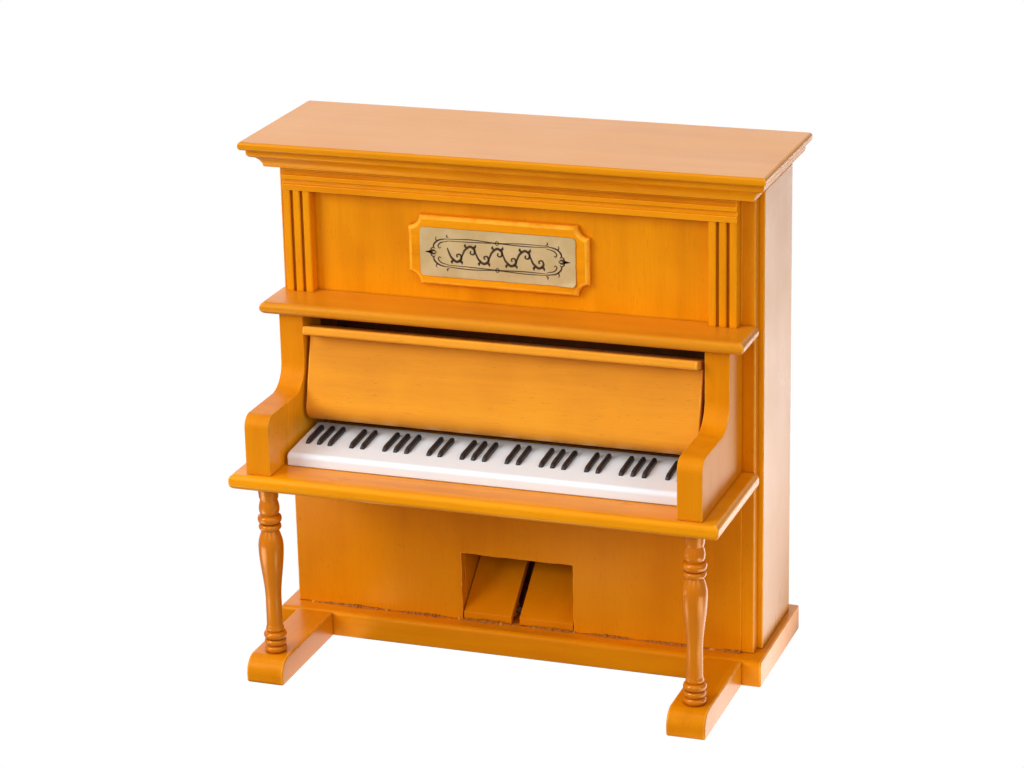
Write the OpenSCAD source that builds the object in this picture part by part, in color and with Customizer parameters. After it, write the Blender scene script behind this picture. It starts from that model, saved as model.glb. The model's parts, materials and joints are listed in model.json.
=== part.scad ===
// Wooden music box in the form of a miniature upright player piano.
// Millimetres. +Z is up, the keyboard faces -Y, the winding key is at +Y.
// The origin is on the floor under the middle of the bounding box.

/* [Overall] */
// Height of the top of the lid board
total_height = 154.2; // [150:0.1:160]
// Half width of the base board
base_half_width = 75; // [74:0.5:77]
// Back edge of the base board
base_back = 35; // [35:0.1:35.5]
// Front tips of the two toes
toe_front = -48.6; // [-50:0.05:-47.5]
// Outer tip of the winding key
key_tip = 48.6; // [47:0.05:50]

/* [Case] */
// Half width over the side panels
case_half_width = 72.9; // [72:0.1:73.4]
// Thickness of the side panels
side_thickness = 4.5; // [4:0.1:5]
// Back face of the case
case_back = 30.8; // [30.5:0.1:31]
// Front face of the stiles and the upper panel
frame_face = -3.9; // [-4.2:0.1:-3.7]
// Depth of the stiles
frame_depth = 4; // [3.5:0.1:4.2]
// Half width of the front boards between the stiles
panel_half_width = 67.6; // [67:0.1:68]
// Half width over the stiles
stile_half_width = 71.3; // [70:0.1:72]
// Thickness of the removable back panel
back_thickness = 3; // [2.5:0.1:3.2]

/* [Base and toes] */
// Height of the base board and the toes
base_height = 7.8; // [7:0.1:9]
// Front edge of the base board
base_front = -9.9; // [-12:0.1:-9]
// Distance of the toe centres from the middle
toe_x = 63.64; // [62:0.02:65]
// Width of one toe
toe_width = 11.4; // [9:0.1:12]
// Distance of the leg axes in front of the origin
leg_y = -41; // [-43:0.1:-40]
// How far both legs stand to the right of the toe centres
leg_shift = 0.65; // [0:0.05:1]

/* [Lid and crown] */
// Half width of the lid board
lid_half_width = 77.84; // [77.5:0.02:79]
// Front edge of the lid board
lid_front = -18.4; // [-19:0.1:-17]
// Back edge of the lid board
lid_back = 33.8; // [33:0.1:34.5]
// Thickness of the lid board
lid_thickness = 2.45; // [2:0.05:3]
// Height of the crown moulding under the lid
crown_height = 6.05; // [5.5:0.05:7]
// How far the crown moulding steps out from bottom to top
crown_reach = 3.7; // [3.4:0.1:4.4]
// Height of the reeded frieze moulding
frieze_height = 7.6; // [7:0.1:9]
// How far frieze and pilasters stand in front of the frame
frieze_depth = 4.1; // [3.5:0.1:4.5]
// How far frieze and pilasters sit off the middle of the case
trim_shift = -1; // [-1.5:0.1:0]

/* [Keyboard] */
// Underside of the key bed
bed_bottom = 59.3; // [58:0.05:61]
// Thickness of the key bed
bed_thickness = 4.45; // [3.5:0.05:5]
// Half width of the key bed
bed_half_width = 72.73; // [72:0.01:74]
// Front edge of the key bed
bed_front = -47.2; // [-47.4:0.1:-46.8]
// Half width of the keyboard moulding
keys_half_width = 59.25; // [58.5:0.05:59.8]
// Front edge of the keyboard moulding
keys_front = -35.3; // [-36:0.1:-34]
// Back edge of the keyboard moulding
keys_back = -11.7; // [-12:0.1:-11]
// Number of white keys
white_keys = 35; // [28:7:42]
// Slope of the key tops
keys_tilt = 4.1; // [3.5:0.1:4.5]

/* [Cheeks, shelf and fallboard] */
// Inner faces of the cheeks
cheek_inner = 60.38; // [60.2:0.02:61]
// Thickness of a cheek
cheek_thickness = 7.28; // [6.5:0.02:7.5]
// Front face of the cheek arms
cheek_front = -45; // [-45.5:0.1:-44.5]
// Height of the arm tops
arm_top = 81.35; // [81:0.05:82]
// Underside of the shelf
shelf_bottom = 103.9; // [103.6:0.02:105]
// Thickness of the shelf
shelf_thickness = 3.6; // [3:0.02:3.8]
// Front edge of the shelf
shelf_front = -20.66; // [-21.5:0.02:-20]
// Half width of the shelf
shelf_half_width = 72.46; // [72:0.02:73.5]
// Height of the fallboard pivot
pivot_z = 76; // [75.8:0.1:76.5]
// Distance of the fallboard pivot in front of the origin
pivot_y = -16.1; // [-16.3:0.1:-16]
// How far the open fallboard leans back
lean = 14.5; // [14:0.1:15]

/* [Plaque] */
// Middle of the plaque, a little off the middle of the case
plaque_x = -3.9; // [-5:0.1:0]
// Height of the middle of the plaque
plaque_z = 122.7; // [121:0.1:124]
// Width of the plaque board
plaque_width = 54.6; // [50:0.1:60]
// Height of the plaque board
plaque_height = 20.6; // [18:0.1:24]

/* [Treadles] */
// Left edge of the treadle notch
notch_left = -18.2; // [-19:0.1:-17]
// Right edge of the treadle notch
notch_right = 16.5; // [16:0.1:18]
// Top of the treadle notch
notch_top = 29.1; // [27:0.1:31]
// Slope of the treadles at rest
treadle_slope = 38; // [36:0.5:40]

/* [Movement] */
// Height of the winding arbor
arbor_z = 117; // [116:0.5:118]
// Number of teeth on the spring barrel's crown wheel
crown_teeth = 48; // [48:1:48]
// Number of leaves on the cylinder's driving pinion
pinion_leaves = 14; // [14:1:14]
// Number of notes on the comb and the cylinder
notes = 18; // [12:1:18]

/* [Hidden] */
$fn = 64;

honey = [0.85, 0.52, 0.10];
honey_dark = [0.70, 0.38, 0.05];
raw_wood = [0.80, 0.66, 0.45];
ivory = [0.94, 0.92, 0.90];
ebony = [0.12, 0.09, 0.10];
foil = [0.86, 0.78, 0.55];
steel = [0.72, 0.72, 0.74];
brass = [0.80, 0.66, 0.32];

// heights and faces that follow from the driving sizes
lid_bottom = total_height - lid_thickness;
case_top = lid_bottom - crown_height;
frame_back = frame_face + frame_depth;
side_inner = case_half_width - side_thickness;
bed_top = bed_bottom + bed_thickness;
shelf_top = shelf_bottom + shelf_thickness;
cheek_outer = cheek_inner + cheek_thickness;
frieze_half_width = 68;
frieze_front = frame_face - frieze_depth;
back_inner = case_back - back_thickness;
lower_panel_face = frame_face - 0.3;
lower_panel_depth = 3.3;

// ---- shared shapes -------------------------------------------------------

// a block between two corners
module block(low, high) {
    translate(low) cube(high - low);
}

// an outline in the Y-Z plane, drawn out from x0 to x1
module across(x0, x1) {
    translate([x0, 0, 0]) rotate([90, 0, 90]) linear_extrude(x1 - x0) children();
}

// an outline in the X-Z plane, drawn out from y0 to y1
module along(y0, y1) {
    translate([0, y1, 0]) rotate([90, 0, 0]) linear_extrude(y1 - y0) children();
}

// a round bar along X
module bar_x(x0, x1, y, z, r) {
    translate([x0, y, z]) rotate([0, 90, 0]) cylinder(r = r, h = x1 - x0);
}

// a round bar along Y
module bar_y(y0, y1, x, z, r) {
    translate([x, y0, z]) rotate([-90, 0, 0]) cylinder(r = r, h = y1 - y0);
}

// a rectangle from a to b whose two corners at the low-x side are rounded
module nosed(a, b, r) {
    translate([a[0] + r, a[1]]) square([b[0] - a[0] - r, b[1] - a[1]]);
    translate([a[0], a[1] + r]) square([2 * r, b[1] - a[1] - 2 * r]);
    for (y = [a[1] + r, b[1] - r]) translate([a[0] + r, y]) circle(r);
}

module mirrored() {
    mirror([1, 0, 0]) children();
}

// a rectangle from a to b with all four corners rounded
module rounded(a, b, r) {
    translate([a[0] + r, a[1]]) square([b[0] - a[0] - 2 * r, b[1] - a[1]]);
    translate([a[0], a[1] + r]) square([b[0] - a[0], b[1] - a[1] - 2 * r]);
    for (x = [a[0] + r, b[0] - r])
        for (y = [a[1] + r, b[1] - r])
            translate([x, y]) circle(r);
}

// a board from front to back whose front and ends are rounded over alike
module edged_board(half_width, front, back, bottom, top, r) {
    intersection() {
        across(-half_width, half_width) nosed([front, bottom], [back, top], r);
        along(front, back) rounded([-half_width, bottom], [half_width, top], r);
    }
}

// ---- base, toes and legs ---------------------------------------------------

base_round = 1.5;

module base_board() {
    color(honey)
        across(-base_half_width, base_half_width) {
            translate([base_front + base_round, 0])
                square([base_back - base_front - base_round, base_height]);
            translate([base_front, 0]) square([base_round, base_height - base_round]);
            translate([base_front + base_round, base_height - base_round]) circle(base_round);
        }
}

toe_top_round = 5;
toe_bottom_round = 1;

module toe() {
    round_y = toe_front + toe_top_round;
    round_z = base_height - toe_top_round;
    color(honey)
        across(toe_x - toe_width / 2, toe_x + toe_width / 2) {
            translate([round_y, 0]) square([base_front - round_y, base_height]);
            translate([toe_front, toe_bottom_round])
                square([toe_top_round, round_z - toe_bottom_round]);
            translate([toe_front + toe_bottom_round, 0])
                square([toe_top_round, toe_bottom_round]);
            intersection() {
                translate([round_y, round_z]) circle(toe_top_round);
                translate([toe_front, round_z]) square(toe_top_round);
            }
            translate([toe_front + toe_bottom_round, toe_bottom_round])
                circle(toe_bottom_round);
        }
}

// one turned bead: a half-ellipse bulge of radius from root to crest
function bead(middle, half, root, crest) =
    [for (a = [0:30:180]) [root + (crest - root) * sin(a), middle - half * cos(a)]];

// the turned outline, radius against height above the toe
leg_height = bed_bottom - base_height;
shaft_r = 2.35;
belly_r = 3.65;
belly_low = 16.2;
belly_crest = 33;
belly_high = 37.4;
leg_outline = concat(
    [[0, 0], [2.9, 0], [2.9, 0.9]],
    bead(2.3, 1.15, 2.65, 3.25),
    bead(5.4, 1.5, 2.65, 3.35),
    [[2.45, 7.3], [shaft_r, 8.6]],
    [for (t = [0:0.125:1])
        [shaft_r + (belly_r - shaft_r) * (1 - cos(180 * t)) / 2,
         belly_low + (belly_crest - belly_low) * t]],
    [for (t = [0.25:0.25:1])
        [belly_r - (belly_r - 2.75) * (1 - cos(90 * t)),
         belly_crest + (belly_high - belly_crest) * t]],
    bead(38.9, 0.95, 2.75, 3.2),
    bead(41.6, 1.4, 2.8, 3.4),
    [[2.8, 43.3], [2.95, 44.6], [2.68, 47.2], [2.75, 48.6], [3.15, 50.2],
     [3.15, leg_height], [0, leg_height]]);

// side is -1 on the left and 1 on the right
module leg(side) {
    color(honey_dark)
        translate([side * toe_x + leg_shift, leg_y, base_height])
            rotate_extrude() polygon(leg_outline);
}

module toe_left() { mirrored() toe(); }
module toe_right() { toe(); }
module leg_left() { leg(-1); }
module leg_right() { leg(1); }

// ---- case ------------------------------------------------------------------

module side_panel() {
    color(honey)
        block([side_inner, frame_back, base_height], [case_half_width, case_back, case_top]);
}

module stile() {
    color(honey_dark)
        block([panel_half_width, frame_face, base_height],
              [stile_half_width, frame_back, case_top]);
}

module side_panel_left() { mirrored() side_panel(); }
module side_panel_right() { side_panel(); }
module stile_left() { mirrored() stile(); }
module stile_right() { stile(); }

// the lower front board, notched at its foot for the treadles
module lower_panel() {
    color(honey)
        difference() {
            block([-panel_half_width, lower_panel_face, base_height],
                  [panel_half_width, lower_panel_face + lower_panel_depth, bed_bottom]);
            block([notch_left, lower_panel_face - 1, base_height - 1],
                  [notch_right, lower_panel_face + lower_panel_depth + 1, notch_top]);
        }
}

// the rail that the back of the key bed is glued to
rail_rise = 2.75;

module middle_rail() {
    color(raw_wood)
        block([-panel_half_width, frame_face, bed_bottom],
              [panel_half_width, frame_back, bed_top + rail_rise]);
}

module upper_panel() {
    color(honey)
        block([-panel_half_width, frame_face, shelf_bottom],
              [panel_half_width, frame_back, case_top]);
}

// where the screws stand: the corners of the back, and the corners of the movement
back_screw_x = 62.5;
back_screw_z = [18, 134];
plate_low = [-15, 95];
plate_high = [39.5, 136];
plate_margin = 3;
plate_screw_x = [plate_low[0] + plate_margin, plate_high[0] - plate_margin];
plate_screw_z = [plate_low[1] + plate_margin, plate_high[1] - plate_margin];
screw_r = 1.1;
screw_clearance = 0.15;
key_hole_r = 3.2;

module back_panel() {
    color(raw_wood)
        difference() {
            block([-side_inner, back_inner, base_height], [side_inner, case_back, lid_bottom]);
            bar_y(back_inner - 1, case_back + 1, 0, arbor_z, key_hole_r);
            for (x = [-back_screw_x, back_screw_x], z = back_screw_z)
                bar_y(back_inner - 1, case_back + 1, x, z, screw_r + screw_clearance);
            for (x = plate_screw_x, z = plate_screw_z)
                bar_y(back_inner - 1, case_back + 1, x, z, screw_r + screw_clearance);
        }
}

screw_head_r = 2.1;
screw_head = 1.2;
screw_slot = 0.5;

// a slotted pan-head screw that enters from the back, tip at y = tip
module back_screw(x, z, tip) {
    reach = screw_head_r + 1;
    difference() {
        union() {
            bar_y(tip, case_back, x, z, screw_r);
            bar_y(case_back, case_back + screw_head, x, z, screw_head_r);
        }
        block([x - reach, case_back + screw_head / 2, z - screw_slot / 2],
              [x + reach, case_back + screw_head + 1, z + screw_slot / 2]);
    }
}

block_width = 9;
block_depth = 9;
block_height = 14;

module back_screws() {
    color(steel)
        for (x = [-back_screw_x, back_screw_x], z = back_screw_z)
            back_screw(x, z, back_inner - block_depth + 1);
}

// glue blocks in the case's corners, which the back is screwed to
module corner_blocks() {
    color(raw_wood)
        for (side = [-1, 1], z = back_screw_z)
            difference() {
                translate([side * (side_inner - block_width / 2), back_inner - block_depth / 2, z])
                    cube([block_width, block_depth, block_height], center = true);
                bar_y(back_inner - block_depth - 1, back_inner + 1,
                      side * back_screw_x, z, screw_r);
            }
}

// ---- lid, crown, frieze and pilasters --------------------------------------

lid_round = 0.9;

module lid_board() {
    color(honey)
        edged_board(lid_half_width, lid_front, lid_back, lid_bottom, total_height, lid_round);
}

crown_foot_y = -11.7;
crown_step = 2.75;
crown_edge = 1.45;
crown_round = 1.3;
cove_reach = crown_reach - crown_edge;
cove_drop = 3;
cove_r = 4.6;
cove_chord = norm([cove_reach, cove_drop]);
// the cove's centre stands this far from its chord, as a share of the chord
cove_bow = sqrt(pow(cove_r / cove_chord, 2) - 0.25);

// crown section: a low fillet, a shallow cove and a round-edged band; reach grows to the left
module crown_section(foot, inner) {
    step_z = lid_bottom - crown_step;
    face = foot - crown_reach;
    difference() {
        translate([face, case_top]) square([inner - face, crown_height]);
        translate([face - 1, case_top - 1])
            square([crown_reach + 1, step_z - cove_drop - case_top + 1]);
        translate([face - 1, case_top - 1])
            square([1 + crown_edge, step_z - case_top + 1]);
        difference() {
            translate([face - 1, step_z - 1]) square(crown_round + 1);
            translate([face + crown_round, step_z + crown_round]) circle(crown_round);
        }
        intersection() {
            translate([face, case_top]) square([crown_reach, step_z - case_top]);
            translate([foot - cove_reach / 2 - cove_drop * cove_bow,
                       step_z - cove_drop / 2 - cove_reach * cove_bow])
                circle(cove_r);
        }
    }
}

crown_half_width = case_half_width + crown_reach;
crown_face = crown_foot_y - crown_reach;
// where the mitre meets the inside of the side return
mitre_y = crown_face + crown_half_width - side_inner;

module crown_front() {
    color(honey)
        intersection() {
            across(-crown_half_width, crown_half_width) crown_section(crown_foot_y, frame_back);
            linear_extrude(total_height)
                polygon([[-crown_half_width, crown_face], [crown_half_width, crown_face],
                         [side_inner, mitre_y], [side_inner, frame_back],
                         [-side_inner, frame_back], [-side_inner, mitre_y]]);
        }
}

module crown_left() {
    color(honey)
        intersection() {
            along(crown_face, case_back) crown_section(-case_half_width, -side_inner);
            linear_extrude(total_height)
                polygon([[-crown_half_width, crown_face], [-side_inner, mitre_y],
                         [-side_inner, case_back], [-crown_half_width, case_back]]);
        }
}

module crown_right() { mirrored() crown_left(); }

frieze_groove_r = 0.8;
frieze_groove_drop = [2.3, 5.1];

module frieze_moulding() {
    color(honey)
        across(trim_shift - frieze_half_width, trim_shift + frieze_half_width)
            difference() {
                translate([frieze_front, case_top - frieze_height])
                    square([frieze_depth, frieze_height]);
                for (drop = frieze_groove_drop)
                    translate([frieze_front - 0.1, case_top - drop]) circle(frieze_groove_r);
            }
}

pilaster_width = 8.3;
reeds = 3;
reed_gap = 0.75;
reed_depth = 1.3;
reed_round = 0.5;
pilaster_set_back = 0.3;

// a pilaster is a backing strip with three round-edged reeds on its face; left is its left edge
module pilaster(left) {
    reed_width = (pilaster_width - (reeds - 1) * reed_gap) / reeds;
    face = frieze_front + pilaster_set_back;
    color(honey)
        translate([0, 0, shelf_top])
            linear_extrude(case_top - frieze_height - shelf_top) {
                translate([left, face + reed_depth])
                    square([pilaster_width, frame_face - face - reed_depth]);
                for (i = [0:reeds - 1])
                    translate([left + i * (reed_width + reed_gap), 0])
                        rounded([0, face], [reed_width, frame_face], reed_round);
            }
}

module pilaster_left() { pilaster(trim_shift - frieze_half_width); }
module pilaster_right() { pilaster(trim_shift + frieze_half_width - pilaster_width); }

plaque_thickness = 2.2;
plaque_notch_r = 3.4;

module plaque_board() {
    color(honey)
        along(frame_face - plaque_thickness, frame_face)
            difference() {
                translate([plaque_x, plaque_z]) square([plaque_width, plaque_height], center = true);
                for (i = [-1, 1], k = [-1, 1])
                    translate([plaque_x + i * plaque_width / 2, plaque_z + k * plaque_height / 2])
                        circle(plaque_notch_r);
            }
}

label_width = 47;
label_height = 14.5;
label_drop = 0.25;
label_thickness = 0.3;
label_clip = 1.3;

// the thin foil plate, with its corners clipped
module label_plate() {
    label_face = frame_face - plaque_thickness - label_thickness;
    half = [label_width / 2, label_height / 2];
    color(foil)
        along(label_face, label_face + label_thickness)
            translate([plaque_x, plaque_z - label_drop])
                polygon([[-half[0] + label_clip, -half[1]], [half[0] - label_clip, -half[1]],
                         [half[0], -half[1] + label_clip], [half[0], half[1] - label_clip],
                         [half[0] - label_clip, half[1]], [-half[0] + label_clip, half[1]],
                         [-half[0], half[1] - label_clip], [-half[0], -half[1] + label_clip]]);
}

// ---- shelf, cheeks and key bed ----------------------------------------------

shelf_flat = 0.16;

// the shelf's front and ends are half rounds with a narrow flat at their middle
module shelf_board() {
    color(honey)
        edged_board(shelf_half_width, shelf_front, frame_face, shelf_bottom, shelf_top,
                    (shelf_thickness - shelf_flat) / 2);
}

bed_round = 1.7;

module key_bed() {
    color(honey)
        edged_board(bed_half_width, bed_front, frame_face, bed_bottom, bed_top, bed_round);
}

column_front = -17.2;
arm_cove_r = 7.8;
arm_round = 3.7;
pin_r = 0.8;
pin_depth = 4;

// a cheek: a low arm beside the keys that sweeps up into a column under the shelf
module cheek() {
    color(honey)
        difference() {
            across(cheek_inner, cheek_outer) {
                translate([column_front, bed_top])
                    square([frame_face - column_front, shelf_bottom - bed_top]);
                translate([cheek_front, bed_top])
                    square([column_front - cheek_front, arm_top - arm_round - bed_top]);
                translate([cheek_front + arm_round, bed_top])
                    square([column_front - cheek_front - arm_round, arm_top - bed_top]);
                translate([cheek_front + arm_round, arm_top - arm_round]) circle(arm_round);
                difference() {
                    translate([column_front - arm_cove_r, arm_top]) square(arm_cove_r);
                    translate([column_front - arm_cove_r, arm_top + arm_cove_r])
                        circle(arm_cove_r);
                }
            }
            bar_x(cheek_inner - 1, cheek_inner + pin_depth, pivot_y, pivot_z, pin_r);
        }
}

module cheek_left() { mirrored() cheek(); }
module cheek_right() { cheek(); }

// ---- keyboard ----------------------------------------------------------------

keys_round = 1.6;
keys_front_height = 3.95;
white_pitch = 2 * keys_half_width / white_keys;
// a place among the seven white keys that has a black key at its left edge
black_places = [1, 2, 3, 5, 6];

module keyboard_plate() {
    run = keys_back - keys_front - keys_round;
    top = bed_top + keys_front_height;
    color(ivory)
        across(-keys_half_width, keys_half_width) {
            polygon([[keys_front, bed_top], [keys_back, bed_top],
                     [keys_back, top + run * tan(keys_tilt)],
                     [keys_front + keys_round, top], [keys_front + keys_round, top - keys_round],
                     [keys_front, top - keys_round]]);
            translate([keys_front + keys_round, top - keys_round]) circle(keys_round);
        }
}

black_width = 1.55;
black_front = -27.8;
black_back = -16.2;
black_height = 1.35;
black_nose = 1.9;
black_nose_foot = 0.15;
black_seat = 0.01;

// one raised key: sloping nose in front, round at the back, glued on the plate
module black_key() {
    length = black_back - black_front;
    intersection() {
        across(-black_width / 2, black_width / 2)
            polygon([[0, 0], [length, 0], [length, black_height],
                     [black_nose, black_height], [0, black_nose_foot]]);
        linear_extrude(black_height) {
            translate([-black_width / 2, 0]) square([black_width, length - black_width / 2]);
            translate([0, length - black_width / 2]) circle(black_width / 2);
        }
    }
}

module black_keys() {
    top = bed_top + keys_front_height;
    color(ebony)
        for (n = [1:white_keys - 1])
            if (len([for (p = black_places) if (n % 7 == p) p]) > 0)
                translate([-keys_half_width + n * white_pitch, keys_front + keys_round, top])
                    rotate([keys_tilt, 0, 0])
                        translate([0, black_front - keys_front - keys_round, black_seat])
                            black_key();
}

// ---- fallboard -----------------------------------------------------------------

fall_half_width = 59.3;
fall_nose_r = 4;
fall_length = 20.9;
lip_thickness = 2.6;
lip_reach = 10.3;
lip_half_width = 59.2;
lip_round = 0.8;
pin_clearance = 0.05;
pin_in_board = 3.8;

// a Y-Z outline drawn with the board upright: its face is at -y, the pivot at the origin
module on_pivot(x0, x1) {
    translate([0, pivot_y, pivot_z]) rotate([-lean, 0, 0]) across(x0, x1) children();
}

module fallboard() {
    color(honey)
        difference() {
            on_pivot(-fall_half_width, fall_half_width) {
                circle(fall_nose_r);
                translate([-fall_nose_r, 0]) square([fall_nose_r, fall_length]);
            }
            for (side = [-1, 1])
                bar_x(side * fall_half_width - pin_in_board, side * fall_half_width + pin_in_board,
                      pivot_y, pivot_z, pin_r + pin_clearance);
        }
}

// the strip on the board's top edge, a nose to lift and lower it by
module fallboard_lip() {
    color(honey)
        on_pivot(-lip_half_width, lip_half_width)
            nosed([-lip_reach, fall_length], [0, fall_length + lip_thickness], lip_round);
}

module fallboard_pins() {
    color(steel)
        for (side = [-1, 1])
            bar_x(side > 0 ? cheek_inner - pin_depth : -cheek_inner - pin_depth,
                  side > 0 ? cheek_inner + pin_depth : -cheek_inner + pin_depth,
                  pivot_y, pivot_z, pin_r);
}

rest_rail_size = 3;
rest_rail_bottom = 88;
rest_gap = 0.1;

// the rail between the cheeks that the open fallboard leans on
module fallboard_rest_rail() {
    top = rest_rail_bottom + rest_rail_size;
    face = pivot_y + (top - pivot_z) * tan(lean) + rest_gap;
    color(raw_wood)
        block([-cheek_inner, face, rest_rail_bottom], [cheek_inner, face + rest_rail_size, top]);
}

// ---- treadles --------------------------------------------------------------------

treadle_gap_left = -3;
treadle_gap_right = -0.4;
treadle_side_gap = 0.25;
treadle_length = 30;
treadle_thickness = 2.2;
treadle_front = frame_face;
treadle_front_top = 10.3;
treadle_front_bottom = 8.1;
rod_y = 1.5;
rod_z = 10.6;
rod_r = 1;
rod_clearance = 0.06;
hub_r = 2.3;
wall_thickness = 2;
wall_back = 24;
wall_top = 32;
rod_seat = 1.4;

// a sloping board on a hub; the front edge is upright and nearly flush with the panel
module treadle(x0, x1) {
    run = treadle_length * [cos(treadle_slope), sin(treadle_slope)];
    skin = treadle_thickness * [sin(treadle_slope), -cos(treadle_slope)];
    heel = [treadle_front, treadle_front_top];
    under = heel + skin;
    flat = under[0] + (treadle_front_bottom - under[1]) / tan(treadle_slope);
    color(honey_dark)
        across(x0, x1)
            difference() {
                union() {
                    polygon([heel, [treadle_front, treadle_front_bottom],
                             [flat, treadle_front_bottom], heel + run + skin, heel + run]);
                    translate([rod_y, rod_z]) circle(hub_r);
                }
                translate([rod_y, rod_z]) circle(rod_r + rod_clearance);
            }
}

module treadle_left() { treadle(notch_left + treadle_side_gap, treadle_gap_left); }
module treadle_right() { treadle(treadle_gap_right, notch_right - treadle_side_gap); }

module treadle_rod() {
    color(steel) bar_x(notch_left - rod_seat, notch_right + rod_seat, rod_y, rod_z, rod_r);
}

// the walls of the treadle well, which carry the rod
module pedal_wall(x, seat_from, seat_to) {
    color(raw_wood)
        difference() {
            block([x, lower_panel_face + lower_panel_depth, base_height],
                  [x + wall_thickness, wall_back, wall_top]);
            bar_x(seat_from, seat_to, rod_y, rod_z, rod_r);
        }
}

module pedal_wall_left() {
    pedal_wall(notch_left - wall_thickness, notch_left - rod_seat, notch_left + 1);
}

module pedal_wall_right() {
    pedal_wall(notch_right, notch_right - 1, notch_right + rod_seat);
}

// ---- musical movement ---------------------------------------------------------------

// The bedplate is screwed to the inside of the back; everything stands on it towards -Y.
plate_thickness = 2;
plate_face = back_inner - plate_thickness;
arbor_r = 2;
run_gap = 0.05;

module movement_plate() {
    color(steel)
        difference() {
            block([plate_low[0], plate_face, plate_low[1]], [plate_high[0], back_inner, plate_high[1]]);
            bar_y(plate_face - 1, back_inner + 1, 0, arbor_z, arbor_r + run_gap);
            for (x = plate_screw_x, z = plate_screw_z)
                bar_y(plate_face - 1, back_inner + 1, x, z, screw_r);
            bar_y(plate_face - 1, plate_face + 1, fly_x, fly_z, thin_shaft_r + run_gap);
        }
}

module movement_screws() {
    color(steel)
        for (x = plate_screw_x, z = plate_screw_z) back_screw(x, z, plate_face);
}

barrel_front = plate_face - 12;
barrel_back = plate_face - 1;
spring_side_gap = 0.5;
barrel_r = 10.8;
barrel_wall = 0.7;
crown_wheel_r = 13.3;
crown_wheel_front = plate_face - 4.2;
crown_tooth_r = 11.4;
crown_tooth_depth = 0.95;
crown_tooth_width = 0.55;

// the spring barrel: a drum with a flange that carries crown teeth
module spring_barrel() {
    color(brass)
        translate([0, 0, arbor_z])
            difference() {
                union() {
                    bar_y(barrel_front, barrel_back, 0, 0, barrel_r);
                    bar_y(crown_wheel_front, barrel_back, 0, 0, crown_wheel_r);
                    for (i = [0:crown_teeth - 1])
                        rotate([0, i * 360 / crown_teeth, 0])
                            block([crown_tooth_r, crown_wheel_front - crown_tooth_depth,
                                   -crown_tooth_width / 2],
                                  [crown_wheel_r, crown_wheel_front + 0.5, crown_tooth_width / 2]);
                }
                bar_y(barrel_front + barrel_wall, barrel_back - barrel_wall, 0, 0,
                      barrel_r - barrel_wall);
                bar_y(barrel_front - 1, barrel_back + 1, 0, 0, arbor_r + run_gap);
            }
}

spring_inner = 2.9;
spring_outer = 9.7;
spring_turns = 8;
spring_strip = 0.3;
spring_steps = 20;

function spiral_point(t, offset) =
    (spring_inner + (spring_outer - spring_inner) * t + offset)
        * [cos(360 * spring_turns * t), sin(360 * spring_turns * t)];

// the mainspring: one flat strip, coiled inside the barrel
module mainspring() {
    steps = spring_turns * spring_steps;
    color(steel)
        translate([0, 0, arbor_z])
            along(barrel_front + barrel_wall + spring_side_gap,
                  barrel_back - barrel_wall - spring_side_gap)
                polygon(concat([for (i = [0:steps]) spiral_point(i / steps, 0)],
                               [for (i = [steps:-1:0]) spiral_point(i / steps, spring_strip)]));
}

bridge_thickness = 1.5;
bridge_gap = 0.6;
bridge_front = barrel_front - bridge_gap - bridge_thickness;
bridge_leg_x = -13.9;
bridge_foot = arbor_z + barrel_r + 3;
bridge_strap = 5;
bridge_leg = 1.4;
bridge_drop = 4;

// the strap over the barrel: it holds the front end of the arbor
module barrel_bridge() {
    bridge_back = bridge_front + bridge_thickness;
    bridge_top = bridge_foot + bridge_strap;
    half_strap = bridge_strap / 2;
    color(brass)
        difference() {
            union() {
                block([bridge_leg_x - bridge_leg / 2, bridge_front, bridge_foot],
                      [half_strap, bridge_back, bridge_top]);
                block([-half_strap, bridge_front, arbor_z - bridge_drop],
                      [half_strap, bridge_back, bridge_top]);
                for (x = [bridge_leg_x, half_strap - bridge_leg / 2])
                    block([x - bridge_leg / 2, bridge_front, bridge_foot],
                          [x + bridge_leg / 2, plate_face, bridge_top]);
            }
            bar_y(bridge_front - 1, bridge_front + bridge_thickness + 1, 0, arbor_z,
                  arbor_r + run_gap);
        }
}

arbor_proud = 0.4;
arbor_back = 38;

module winding_arbor() {
    color(steel) bar_y(bridge_front - arbor_proud, arbor_back, 0, arbor_z, arbor_r);
}

key_hub_front = case_back + 1.2;
key_hub_back = 40;
key_hub_r = 3;
key_neck = 3;
key_lobe_r = 5.2;
key_lobe_x = 6.6;
key_web = 5;
key_wing_thickness = 2;
key_eye_r = 1.8;

// the butterfly key, screwed on the arbor behind the case
module winding_key() {
    lobe_y = key_tip - key_lobe_r;
    color(brass)
        translate([0, 0, arbor_z])
            difference() {
                union() {
                    bar_y(key_hub_front, key_hub_back, 0, 0, key_hub_r);
                    translate([0, 0, -key_wing_thickness / 2])
                        linear_extrude(key_wing_thickness) {
                            for (side = [-1, 1]) translate([side * key_lobe_x, lobe_y])
                                circle(key_lobe_r);
                            translate([-key_hub_r, key_hub_back - key_neck])
                                square([2 * key_hub_r, lobe_y - key_hub_back + key_neck]);
                            translate([-key_lobe_x, lobe_y - key_web / 2])
                                square([2 * key_lobe_x, key_web]);
                        }
                }
                bar_y(key_hub_front - 1, arbor_back, 0, 0, arbor_r);
                for (side = [-1, 1])
                    translate([side * key_lobe_x, lobe_y, -key_wing_thickness])
                        cylinder(r = key_eye_r, h = 2 * key_wing_thickness);
            }
}

cyl_y = plate_face - 8.6;
cyl_from = 15.4;
cyl_to = 34.2;
cyl_r = 6.4;
cyl_pin = 0.7;
cyl_pin_r = 0.18;
pins_per_note = 3;
cyl_shaft_r = 0.9;
note_margin = 0.75;
note_pitch = (cyl_to - cyl_from - 2 * note_margin) / (notes - 1);
golden_turn = 137.5;

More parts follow.
